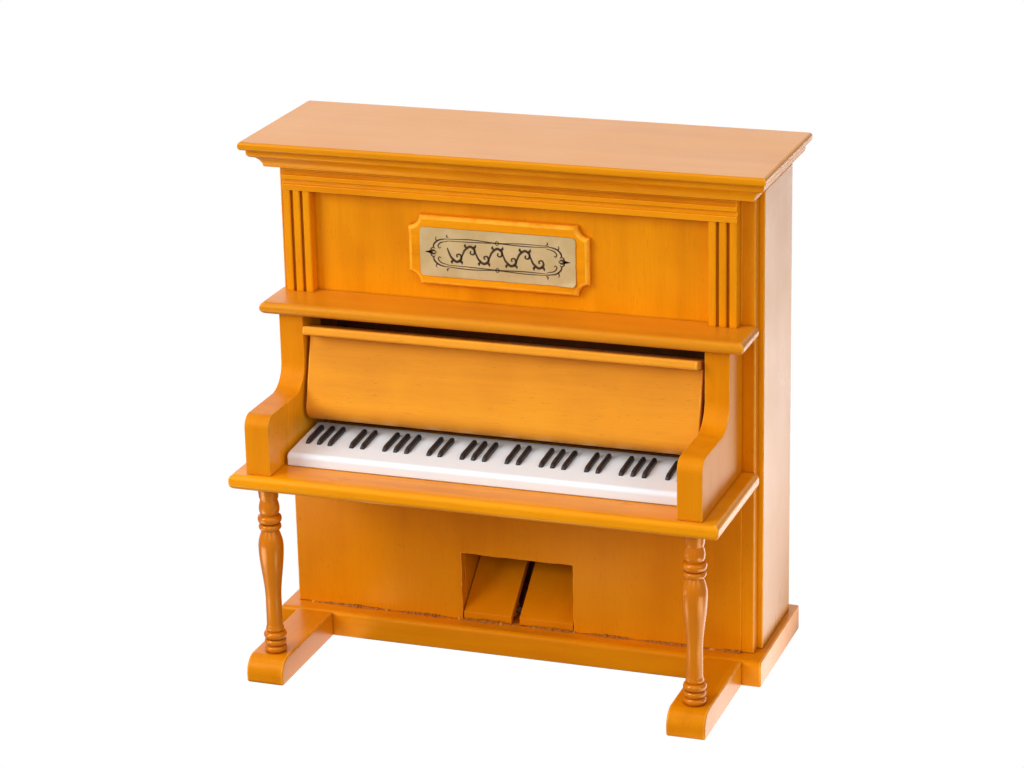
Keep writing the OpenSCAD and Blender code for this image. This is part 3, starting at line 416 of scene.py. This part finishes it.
# the last letter of a wood's name is the axis of its grain
MATERIALS = {
    "honey_x": wood("honey_x", HONEY, X, seed=1.3),
    "honey_z": wood("honey_z", HONEY, Z, seed=7.9),
    "panel_z": wood("panel_z", HONEY, Z, band=13, seed=3.2),
    "lower_z": wood("lower_z", LOWER, Z, band=19, figure=1.7, seed=2.4),
    # a darker copy of the stain for the case's sides: painted shade that offsets the strong light
    # from the right
    "side_shaded_z": wood("side_shaded_z", tinted(HONEY, 0.68), Z, figure=0.5, band=12, seed=6.6),
    "lid_x": wood("lid_x", tinted(HONEY, 0.86), X, band=7, figure=0.35, gloss=(0.28, 0.32),
                  seed=1.7),
    "cheek_z": wood("cheek_z", tinted(HONEY, 0.84, (0.82, 0.22, 0), 0.35), Z, gloss=(0.42, 0.48),
                    ior=1.4, seed=7.2),
    "shelf_x": wood("shelf_x", tinted(HONEY, 0.80, (0.72, 0.24, 0.02), 0.3), X, seed=1.3),
    "base_x": wood("base_x", tinted(HONEY, 0.92, (0.78, 0.2, 0), 0.3), X, seed=2.2),
    "base_y": wood("base_y", tinted(HONEY, 0.86, (0.76, 0.19, 0), 0.35), Y, ior=1.42, seed=4.1),
    "crown_x": wood("crown_x", tinted(HONEY, 1.06), X, stain_and_shade_pool=(0.9, 0.8), arris=1.0, seed=1.9),
    "crown_y": wood("crown_y", HONEY, Y, stain_and_shade_pool=(1.0, 0.8), arris=1.0, seed=5.9),
    # a lighter, yellower copy of the cheeks' finish for the left cheek's inner face: painted light
    # where that face lies in shade
    "inner_cheek_lit_z": wood("inner_cheek_lit_z", tinted(HONEY, 1.0, (0.98, 0.46, 0.01), 0.5), Z,
                          seed=7.2),
    "mould_x": wood("mould_x", tinted(HONEY, 1.06), X, stain_and_shade_pool=(1.8, 1.0), arris=1.0, seed=1.9),
    "mould_z": wood("mould_z", HONEY, Z, stain_and_shade_pool=(1.6, 0.6), arris=1.0, seed=8.3),
    "shaded_z": wood("shaded_z", SHADED, Z, seed=2.6),
    "shaded_x": wood("shaded_x", SHADED, X, seed=3.9),
    "pale_x": wood("pale_x", tinted(PALE, 0.95), X, figure=1.4, band=9, tint=WARM, seed=5.5),
    "deep_z": wood("deep_z", DEEP, Z, gloss=(0.19, 0.25), tint=WARM, ior=1.75, turned=True,
                   seed=9.2),
    "treadle_y": wood("treadle_y", tinted(HONEY, 0.84, (0.75, 0.17, 0), 0.45), Y, figure=1.2,
                      band=9, seed=3.7),
    "bare_z": wood("bare_z", BARE, Z, seed=8.8, **DRY),
    # a dark red copy of the stain for the back panel's inner face: painted shade for the dark
    # hollow seen through the case's gaps
    "inside_shaded_z": wood("inside_shaded_z", tinted(HONEY, 0.45, (0.30, 0.06, 0.01), 0.5), Z, seed=8.8, **DRY),
    "ivory": coated("ivory", (0.83, 0.89, 0.945), (0.85, 0.91, 0.955), (0.36, 0.42), 30, 0.002),
    "ebony": coated("ebony", (0.012, 0.010, 0.012), (0.024, 0.019, 0.022), (0.24, 0.4), 2, 0.05),
    "steel": coated("steel", (0.55, 0.55, 0.57), (0.68, 0.68, 0.70), (0.22, 0.4), 3, 0.01, 1.0),
    "browned": coated("browned", (0.07, 0.035, 0.015), (0.11, 0.055, 0.02), (0.6, 0.8), 3, 0.01,
                      0.2),
    "brass": coated("brass", (0.78, 0.56, 0.22), (0.84, 0.64, 0.30), (0.2, 0.36), 4, 0.01, 1.0),
    "foil": coated("foil", (0.60, 0.43, 0.19), (0.72, 0.54, 0.28), (0.34, 0.5), 9, 0.02, 0.2),
    "ink": coated("ink", (0.045, 0.020, 0.007), (0.085, 0.042, 0.015), (0.35, 0.5), 2, 0.01),
    "glue": coated("glue", (0.30, 0.085, 0.004), (0.48, 0.16, 0.015), (0.5, 0.7), 0.8, 0.03,
                   ior=1.3),
    "size": coated("size", (0.58, 0.23, 0.02), (0.68, 0.31, 0.05), (0.5, 0.7), 0.8, 0.03,
                   ior=1.3),
}


# ---- meshes ------------------------------------------------------------------------------------

# vertices nearer than this are one
WELD = 0.002 * MM
# an edge between faces that turn less than this isn't an edge
FLAT = math.radians(0.5)
# how nearly a face must look in a direction to be on that side of a board, as a cosine
ON_SIDE = 0.7


def cad_mesh(name):
    """A CAD node's mesh with its doubled vertices joined and its flat faces made whole."""
    bm = bmesh.new()
    bm.from_mesh(NODES[name].data)
    bmesh.ops.remove_doubles(bm, verts=bm.verts, dist=WELD)
    bmesh.ops.dissolve_limit(bm, angle_limit=FLAT, verts=bm.verts, edges=bm.edges)
    return bm


def finished(bm, name, material, body, stands_for=(), slot=None, smooth_angle=35):
    """Turns a bmesh into a piece that rides on a body."""
    mesh = bpy.data.meshes.new(name)
    bmesh.ops.recalc_face_normals(bm, faces=bm.faces)
    bm.to_mesh(mesh)
    bm.free()
    mesh.materials.append(MATERIALS[material])
    piece = bpy.data.objects.new(name, mesh)
    bpy.context.scene.collection.objects.link(piece)
    mesh.shade_smooth()
    mesh.set_sharp_from_angle(angle=math.radians(smooth_angle))
    weighted = piece.modifiers.new("weighted_normals", "WEIGHTED_NORMAL")
    weighted.keep_sharp = True
    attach(piece, body)
    if stands_for:
        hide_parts(*stands_for)
    return piece


def stand_for(bm, name, material, **options):
    """The piece that replaces one CAD node."""
    return finished(bm, name + "_look", material, BODY[name], (name,), SLOT[name], **options)


def sanded(name, material, radius=0.35, steps=3, sharper_than=28, keep=None, shape=None,
           other=None, facing=(0, -1, 0)):
    """A CAD board with its arrises rounded over, as sandpaper leaves them.

    radius is in millimetres, and edges that turn less than sharper_than degrees are left.
    keep(edge) is true for an edge that stays sharp, such as one at a glued joint, shape(bm)
    works on the board before it is sanded, and other is the finish of the faces that look
    the way of facing.
    """
    bm = cad_mesh(name)
    if shape:
        shape(bm)
    arrises = [e for e in bm.edges
               if len(e.link_faces) == 2 and e.calc_face_angle() > math.radians(sharper_than)
               and not (keep and keep(e))]
    made = bmesh.ops.bevel(bm, geom=arrises, offset=radius * MM, segments=steps, profile=0.5,
                           affect="EDGES", clamp_overlap=True)
    mark_arris(bm, made["faces"])
    for face in bm.faces:
        face.material_index = int(bool(other) and face.normal.dot(Vector(facing)) > ON_SIDE)
    piece = stand_for(bm, name, material)
    if other:
        piece.data.materials.append(MATERIALS[other])
    return piece


def mark_arris(bm, faces):
    """Marks the corners of rounded-over faces, where stain and varnish wear thin and where wood
    also takes a painted highlight.
    """
    layer = bm.loops.layers.float.get("arris") or bm.loops.layers.float.new("arris")
    for face in faces:
        for corner in face.loops:
            corner[layer] = 1.0


def at_plane(axis, place, reach=0.05):
    """A test for edges that lie in a plane across an axis."""
    return lambda edge: all(abs(v.co[axis] - place) < reach * MM for v in edge.verts)


def smooth_path(points, steps=6):
    """A Catmull-Rom line through the points."""
    points = [np.array(p, float) for p in points]
    padded = [2 * points[0] - points[1], *points, 2 * points[-1] - points[-2]]
    line = []
    for a, b, c, d in zip(padded, padded[1:], padded[2:], padded[3:]):
        for i in range(steps):
            t = i / steps
            line.append(0.5 * (2 * b + (c - a) * t + (2 * a - 5 * b + 4 * c - d) * t ** 2
                               + (3 * b - a - 3 * c + d) * t ** 3))
    return [*line, points[-1]]


def bridged(bm, rings):
    """Joins closed rings of vertices, given as lists of points, into a skin with two ends."""
    made = [[bm.verts.new(p) for p in ring] for ring in rings]
    for low, high in zip(made, made[1:]):
        for i in range(len(low)):
            j = (i + 1) % len(low)
            bm.faces.new((low[i], low[j], high[j], high[i]))
    bm.faces.new(made[0][::-1])
    bm.faces.new(made[-1])


def bead(middle, half, root, crest, steps=9):
    """The outline of one turned bead, as (radius, height) in millimetres."""
    turns = [math.pi * i / (steps - 1) for i in range(steps)]
    return [(root + (crest - root) * math.sin(a) ** 0.8, middle - half * math.cos(a))
            for a in turns]


def leg_outline(height):
    """A slim vase between beads, as (radius, height) in millimetres."""
    shaft, belly, neck = 2.3, 3.65, 2.5
    shaft_z, belly_z, neck_z = 16.2, 33.0, 37.9
    rise = [(shaft + (belly - shaft) * (1 - math.cos(math.pi * t)) / 2,
             shaft_z + (belly_z - shaft_z) * t) for t in np.linspace(0, 1, 17)]
    shoulder = [(belly - (belly - neck) * (1 - math.cos(math.pi / 2 * t)),
                 belly_z + (neck_z - belly_z) * t) for t in np.linspace(0.1, 1, 10)]
    ankle = smooth_path([(2.45, 6.6), (2.65, 7.1), (2.35, 8.4)], 4)
    collar = smooth_path([(2.6, 43.0), (2.95, 44.0), (2.95, 45.4), (2.6, 47.0), (2.5, 47.4)], 5)
    head = smooth_path([(2.78, 47.9), (2.9, 49.2), (3.1, height)], 4)
    return [(2.7, 0), *bead(1.1, 0.95, 2.5, 3.25), *bead(3.2, 0.9, 2.4, 3.2),
            *bead(5.35, 1.05, 2.4, 3.35), *ankle, *rise, *shoulder, *bead(39.1, 0.95, 2.4, 3.3),
            *bead(41.5, 1.2, 2.5, 3.5), *collar[1:], *head]


def turned_leg(name, segments=56):
    """Turns the leg's outline round the middle of its CAD node."""
    low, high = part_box(name)
    middle = (low + high) / 2
    bm = bmesh.new()
    rings = []
    turns = np.linspace(0, 2 * math.pi, segments, False)
    for radius, z in leg_outline((high.z - low.z) / MM):
        rings.append([(middle.x + radius * MM * math.cos(a), middle.y + radius * MM * math.sin(a),
                       low.z + z * MM) for a in turns])
    bridged(bm, rings)
    stand_for(bm, name, "deep_z", smooth_angle=60)


def inset_rings(outline, insets, sharpest=0.3):
    """Copies of a closed outline in XZ, each moved inwards by a distance and kept in order.

    sharpest keeps a pointed corner from moving too far.
    """
    outline = np.array(outline)
    ahead = np.roll(outline, -1, axis=0) - outline
    ahead /= np.linalg.norm(ahead, axis=1)[:, None]
    inward = np.stack([-ahead[:, 1], ahead[:, 0]], axis=1)
    before = np.roll(inward, 1, axis=0)
    miter = inward + before
    miter /= np.maximum((miter * inward).sum(axis=1), sharpest)[:, None]
    return [outline + miter * inset for inset in insets]


def rounded_plaque(roundness=1.15, steps=7, worn_and_highlit_share=0.8):
    """The plaque with a broad rounded edge that follows its scooped corners.

    roundness is in millimetres, and worn_and_highlit_share the share of it where the stain is
    lightened, partly as wear and partly as a painted highlight.
    """
    bm = cad_mesh("plaque_board")
    low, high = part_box("plaque_board")
    face = max((f for f in bm.faces if f.normal.y < -0.9), key=lambda f: f.calc_area())
    outline = [(v.co.x, v.co.z) for v in face.verts]
    bm.free()
    area = sum(a[0] * b[1] - b[0] * a[1] for a, b in zip(outline, outline[1:] + outline[:1]))
    if area < 0:
        outline.reverse()
    turns = np.linspace(0, math.pi / 2, steps)
    rings = inset_rings(outline, [0, 0, *((1 - np.cos(turns[1:])) * roundness * MM)])
    places = [high.y, low.y + roundness * MM, *(low.y + (1 - np.sin(turns[1:])) * roundness * MM)]
    bm = bmesh.new()
    bridged(bm, [[(x, y, z) for x, z in ring] for ring, y in zip(rings, places)])
    mark_arris(bm, [f for f in bm.faces if len(f.verts) == 4
                    and f.calc_center_median().y < low.y + worn_and_highlit_share * roundness * MM])
    stand_for(bm, "plaque_board", "crown_x", smooth_angle=40)


def islands(mesh):
    """The boxes of a mesh's separate parts, from left to right, as (low, high) in metres."""
    bm = bmesh.new()
    bm.from_mesh(mesh)
    bmesh.ops.remove_doubles(bm, verts=bm.verts, dist=WELD)
    waiting = set(bm.verts)
    boxes = []
    while waiting:
        group, edge = [], [waiting.pop()]
        while edge:
            vert = edge.pop()
            group.append(vert.co.copy())
            for link in vert.link_edges:
                other = link.other_vert(vert)
                if other in waiting:
                    waiting.discard(other)
                    edge.append(other)
        boxes.append((Vector(map(min, zip(*group))), Vector(map(max, zip(*group)))))
    bm.free()
    return sorted(boxes, key=lambda box: box[0].x)


# the black keys' height in millimetres, and the slope of the moulding that they stand on
BLACK_KEY_HEIGHT = 1.35
KEYBOARD_SLOPE = math.tan(math.radians(4.1))
# millimetres from the nose or from the tail, share of the width and share of the height
NOSE = [(0.0, 0.62, 0.20), (0.12, 0.78, 0.36), (0.5, 0.92, 0.56), (1.1, 0.98, 0.82),
        (1.7, 1.0, 0.96), (2.3, 1.0, 1.0)]
TAIL = [(0.9, 1.0, 1.0), (0.4, 0.94, 0.95), (0.12, 0.74, 0.8), (0.0, 0.5, 0.6)]
# one half of a key's section, as shares of the width and the height
HALF_SECTION = [(-0.5, 0), (-0.5, 0.35), (-0.43, 0.72), (-0.32, 0.93), (-0.14, 1.0)]


def black_keys(seed=11):
    """Rounded bars with sloping noses, no two quite alike."""
    dice = random.Random(seed)
    section = [*HALF_SECTION, *((-u, v) for u, v in reversed(HALF_SECTION))]
    bm = bmesh.new()
    for low, high in islands(NODES["black_keys"].data):
        front = low.y + dice.uniform(-0.1, 0.25) * MM
        back = high.y - dice.uniform(0.0, 0.25) * MM
        width = (high.x - low.x) * dice.uniform(0.93, 1.0)
        height = BLACK_KEY_HEIGHT * MM * dice.uniform(0.95, 1.03)
        middle, lean = (low.x + high.x) / 2, dice.uniform(-0.012, 0.012)
        places = [(front + d * MM, w, h) for d, w, h in NOSE]
        places += [(back - d * MM, w, h) for d, w, h in TAIL]
        rings = []
        for y, wide, tall in places:
            x = middle + lean * (y - front)
            foot = low.z + (y - low.y) * KEYBOARD_SLOPE
            rings.append([(x + u * width * wide, y, foot + v * height * tall)
                          for u, v in section])
        bridged(bm, rings)
    stand_for(bm, "black_keys", "ebony", smooth_angle=50)


def rough_notch(bm, seed=5, cuts=14, wander=0.11, near=0.3 * MM):
    """The panel's notch was cut by hand, so its edge wanders by up to wander millimetres."""
    low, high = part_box("lower_panel")

    def in_notch(vert):
        return low.x + near < vert.co.x < high.x - near and vert.co.z < high.z - near

    cut = [e for e in bm.edges if all(in_notch(v) for v in e.verts)
           and abs(e.verts[0].co.y - e.verts[1].co.y) < near]
    corners = {v for e in cut for v in e.verts}
    made = bmesh.ops.subdivide_edges(bm, edges=cut, cuts=cuts)
    dice = random.Random(seed)
    for vert in [g for g in made["geom_inner"] if isinstance(g, bmesh.types.BMVert)]:
        if vert not in corners:
            vert.co.x += dice.uniform(-wander, wander) * MM
            vert.co.z += dice.uniform(-wander, wander) * MM * (vert.co.z > low.z + near)


# the length of a step along a run of glue, in millimetres
GLUE_STEP = 0.35


def glue_line(name, start, end, radius=0.22, runs=(1.2, 9), gaps=(0.3, 5), material="glue",
              seed=1):
    """A squeezed-out line of glue in a corner, thick in places and missing in others.

    radius and the shortest and longest runs and gaps are in millimetres.
    """
    dice = random.Random(seed)
    start, end = Vector(start), Vector(end)
    along = (end - start).normalized()
    side = along.cross(Vector((0, 0, 1))).normalized()
    if side.y > 0:
        side = -side
    turns = np.linspace(0, math.pi / 2, 5)
    bm = bmesh.new()
    length = (end - start).length / MM
    place = dice.uniform(0, 2)
    while place < length - 3:
        run = dice.uniform(*runs)
        count = max(4, int(run / GLUE_STEP))
        rings = []
        for i in range(count + 1):
            t = min(length, place + run * i / count)
            swell = math.sin(math.pi * i / count) ** 0.5 if 0 < i < count else 0.05
            lumps = 1.1 * noise.noise(Vector((t * 0.8, seed, 0))) ** 2
            size = radius * MM * swell * (0.45 + lumps + 0.35 * dice.random())
            middle = start + along * t * MM
            rim = [middle + side * size * math.cos(a) * 1.2 + Vector((0, 0, size * math.sin(a)))
                   for a in turns]
            rings.append([*rim, middle])
        bridged(bm, rings)
        place += run + dice.uniform(*gaps)
    finished(bm, name, material, "case", slot="wood_honey", smooth_angle=60)


# ---- the label ---------------------------------------------------------------------------------

# in millimetres: the corners' bevel, the foil's thickness and its depth in the plaque
LABEL_CLIP, FOIL_THICKNESS, FOIL_DEPTH = 0.8, 0.16, 0.12
# the power that keeps fraying to the edge
EDGE_ONLY = 8
# where the lifted corner starts, and how steeply it rises
CORNER_START, CORNER_RISE = 0.86, 3.2
# in millimetres: the ink's height, and the gap that it keeps under it
INK_HEIGHT, INK_GAP = 0.035, 0.012
INK_BOLDNESS = 1.3


def label(seed=3, rows=26, columns=70):
    """A thin plate with frayed edges and a lifted corner."""
    low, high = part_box("label_plate")
    dice = random.Random(seed)
    clip = LABEL_CLIP * MM
    middle = (low + high) / 2
    half_x, half_z = (high.x - low.x) / 2, (high.z - low.z) / 2
    fray = [[dice.uniform(-0.09, 0.05) * MM for _ in range(rows + 1)] for _ in range(2)]
    rim = [[dice.uniform(-0.08, 0.04) * MM for _ in range(columns + 1)] for _ in range(2)]
    front, back = [], []
    for r in range(rows + 1):
        w = -1 + 2 * r / rows
        narrow = max(0.0, abs(w) * half_z - (half_z - clip))
        line_front, line_back = [], []
        for c in range(columns + 1):
            u = -1 + 2 * c / columns
            x = u * (half_x - narrow + fray[u > 0][r] * abs(u) ** EDGE_ONLY)
            z = w * (half_z + rim[w > 0][c] * abs(w) ** EDGE_ONLY)
            lift = 0.03 * noise.noise(Vector((u * 4, w * 2, 0.3)))
            corner = max(0.0, (x / half_x - z / half_z) / 2 - CORNER_START) * CORNER_RISE
            y = low.y - (lift + corner) * MM
            behind = max(y + FOIL_THICKNESS * MM, high.y - FOIL_DEPTH * MM)
            line_front.append((middle.x + x, y, middle.z + z))
            line_back.append((middle.x + x, behind, middle.z + z))
        front.append(line_front)
        back.append(line_back)
    bm = bmesh.new()
    rings = [[*a, *b[::-1]] for a, b in zip(front, back)]
    bridged(bm, rings)
    stand_for(bm, "label_plate", "foil", smooth_angle=40)


def inked(bm, path, widths, place):
    """Adds a raised stroke of ink along a path on the label's face.

    widths has one width, or one for each of several places along the path.
    """
    if not hasattr(widths, "__len__"):
        widths = (widths, widths)
    widths = [INK_BOLDNESS * width for width in widths]
    line = smooth_path(path)
    count = len(line) - 1
    rings = []
    for i, point in enumerate(line):
        ahead = line[min(i + 1, count)] - line[max(i - 1, 0)]
        across = np.array([-ahead[1], ahead[0]]) / (np.hypot(*ahead) + 1e-9)
        t = i / count * (len(widths) - 1)
        k = min(int(t), len(widths) - 2)
        half = (widths[k] + (widths[k + 1] - widths[k]) * (t - k)) / 2
        a, b = point + across * half, point - across * half
        rings.append([place(*a, 0), place(*a, INK_HEIGHT), place(*b, INK_HEIGHT), place(*b, 0)])
    bridged(bm, rings)


def label_ornament():
    """A double border with curled ends and a vine in the middle: plain ornament, no lettering.

    Places and widths are in millimetres from the label's middle.
    """
    low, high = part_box("label_plate")
    middle = (low + high) / 2

    def place(u, w, out):
        return (middle.x + u * MM, low.y - (out + INK_GAP) * MM, middle.z + w * MM)

    bm = bmesh.new()
    for v in (-1, 1):
        inked(bm, [(-15.6, 4.1 * v), (-8, 4.45 * v), (0, 4.0 * v), (8, 3.75 * v), (15.2, 3.9 * v)],
              (0.12, 0.24, 0.2, 0.24, 0.12), place)
        inked(bm, [(-15.2, 3.6 * v), (-8, 3.72 * v), (0, 4.0 * v), (8, 4.4 * v), (15.6, 4.3 * v)],
              (0.12, 0.2, 0.24, 0.2, 0.12), place)
        inked(bm, [(-0.65, 4 * v), (0, 4.6 * v), (0.65, 4 * v)], 0.18, place)
        inked(bm, [(-0.65, 4 * v), (0, 3.4 * v), (0.65, 4 * v)], 0.18, place)
        for h in (-1, 1):
            def flipped(points):
                return [(h * u, v * w) for u, w in points]

            inked(bm, flipped([(15.2, 4.2), (17.6, 3.7), (19.0, 2.6), (19.3, 1.6), (18.8, 1.0)]),
                  (0.16, 0.34, 0.4, 0.3, 0.14), place)
            inked(bm, flipped([(14.9, 3.5), (17.0, 3.0), (17.9, 2.0), (17.5, 1.3), (17.0, 1.7)]),
                  (0.12, 0.26, 0.3, 0.22, 0.12), place)
            inked(bm, flipped([(18.1, 3.3), (18.6, 4.0), (18.3, 4.7)]), (0.3, 0.22, 0.08), place)
            inked(bm, flipped([(14.6, 4.5), (15.2, 4.9), (15.1, 5.5)]), (0.1, 0.34, 0.12), place)
            inked(bm, flipped([(19.3, 1.5), (20.0, 1.0), (20.2, 0.3), (21.0, 0.05)]),
                  (0.24, 0.3, 0.3, 0.12), place)
            inked(bm, flipped([(18.4, 0.1), (19.4, 0.5), (20.3, 0.1), (21.9, 0.0)]),
                  (0.12, 0.5, 0.6, 0.08), place)
    for k, c in enumerate(np.linspace(-12.4, 12.4, 7)):
        v = 1 if k % 2 else -1
        inked(bm, [(c - 2.7, -1.5 * v), (c - 2.1, 0.1 * v), (c - 1.4, 1.35 * v), (c + 0.1, 2.4 * v),
                   (c + 1.45, 1.5 * v), (c + 1.2, 0.2 * v), (c + 0.2, 0.3 * v), (c + 0.3, 1.1 * v)],
              (0.28, 0.42, 0.5, 0.62, 0.54, 0.4, 0.32, 0.4), place)
        for leaf in ([(c - 0.9, 1.9 * v), (c - 1.4, 2.5 * v), (c - 1.3, 3.1 * v)],
                     [(c + 0.9, 2.0 * v), (c + 1.6, 2.4 * v), (c + 1.8, 3.1 * v)]):
            inked(bm, leaf, (0.3, 0.65, 0.12), place)
    finished(bm, "label_ornament", "ink", BODY["label_plate"], slot="foil", smooth_angle=30)


# ---- the boards and their finishes -------------------------------------------------------------

# board: finish, and the radius of its arrises in millimetres
BOARDS = {
    "base_board": ("base_x", 0.6), "toe_left": ("base_y", 0.6), "toe_right": ("base_y", 0.6),
    "upper_panel": ("panel_z", 0.2), "lid_board": ("lid_x", 0.3), "shelf_board": ("shelf_x", 0.4),
    "key_bed": ("honey_x", 0.4), "cheek_right": ("cheek_z", 0.6),
    "fallboard": ("pale_x", 0.5), "fallboard_lip": ("pale_x", 0.55),
    "treadle_left": ("treadle_y", 0.3), "treadle_right": ("treadle_y", 0.3),
    "crown_front": ("crown_x", 0.4), "crown_left": ("crown_y", 0.4),
    "crown_right": ("crown_y", 0.4), "frieze_moulding": ("mould_x", 0.32),
    "keyboard_plate": ("ivory", 0.5), "middle_rail": ("shaded_x", 0.2),
    "corner_blocks": ("bare_z", 0.4),
    "fallboard_rest_rail": ("shaded_x", 0.3), "pedal_wall_left": ("shaded_z", 0.2),
    "pedal_wall_right": ("shaded_z", 0.2), "winding_key": ("brass", 0.2),
    "back_screws": ("steel", 0.08), "movement_screws": ("steel", 0.08),
}
# finish: the CAD nodes that keep their shape and take it
METALS = {
    "brass": ("barrel_bridge", "spring_barrel", "note_cylinder", "cylinder_bearings", "comb_base",
              "governor_frame", "governor_wheel"),
    "steel": ("fallboard_pins", "movement_plate", "winding_arbor", "mainspring", "cylinder_wheels",
              "note_comb", "comb_screws", "fly"),
    "browned": ("treadle_rod",),
}

for board, (finish, radius) in BOARDS.items():
    sanded(board, finish, radius)
# the sides take the darker finish as painted shade; their front edges keep the honey tone
for name in ("side_panel_left", "side_panel_right"):
    sanded(name, "side_shaded_z", 0.35, other="honey_z")
# the back panel's inner face takes the dark finish, as painted shade
sanded("back_panel", "bare_z", 0.3, other="inside_shaded_z")
# the left cheek's inner face takes the lighter finish, as painted light
sanded("cheek_left", "cheek_z", 0.6, other="inner_cheek_lit_z", facing=(1, 0, 0))
panel_low, panel_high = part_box("lower_panel")
sanded("lower_panel", "lower_z", 0.16, keep=at_plane(X, panel_low.x), shape=rough_notch)
for side in ("left", "right"):
    low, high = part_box("pilaster_" + side)
    ends = [at_plane(Z, low.z), at_plane(Z, high.z)]
    sanded("pilaster_" + side, "mould_z", 0.12, keep=lambda edge: any(end(edge) for end in ends))
sanded("stile_left", "lower_z", 0.35, keep=at_plane(X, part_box("stile_left")[1].x))
sanded("stile_right", "lower_z", 0.35, keep=at_plane(X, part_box("stile_right")[0].x))
rounded_plaque()
turned_leg("leg_left")
turned_leg("leg_right")
black_keys()
label()
label_ornament()
for finish, names in METALS.items():
    for name in names:
        NODES[name].data.materials.clear()
        NODES[name].data.materials.append(MATERIALS[finish])

foot_left, foot_right = panel_low, Vector((panel_high.x, panel_low.y, panel_low.z))
glue_line("glue_panel_foot", foot_left, foot_right, 0.95, (8, 26), (0.1, 1.2), seed=2)
glue_line("glue_panel_crust", foot_left, foot_right, 0.8, (0.6, 2.5), (0.8, 12), "size", seed=3)
for side, cheek in (("left", "cheek_left"), ("right", "cheek_right")):
    low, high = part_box(cheek)
    glue_line("glue_cheek_" + side, (low.x, low.y, low.z), (high.x, low.y, low.z), 0.16, seed=7)

bpy.context.scene.view_settings.view_transform = "Standard"
make_camera()
make_world()
make_floor()
for name, (place, target, size, radiance) in SOFTBOXES.items():
    softbox(name, place, target, size, radiance)
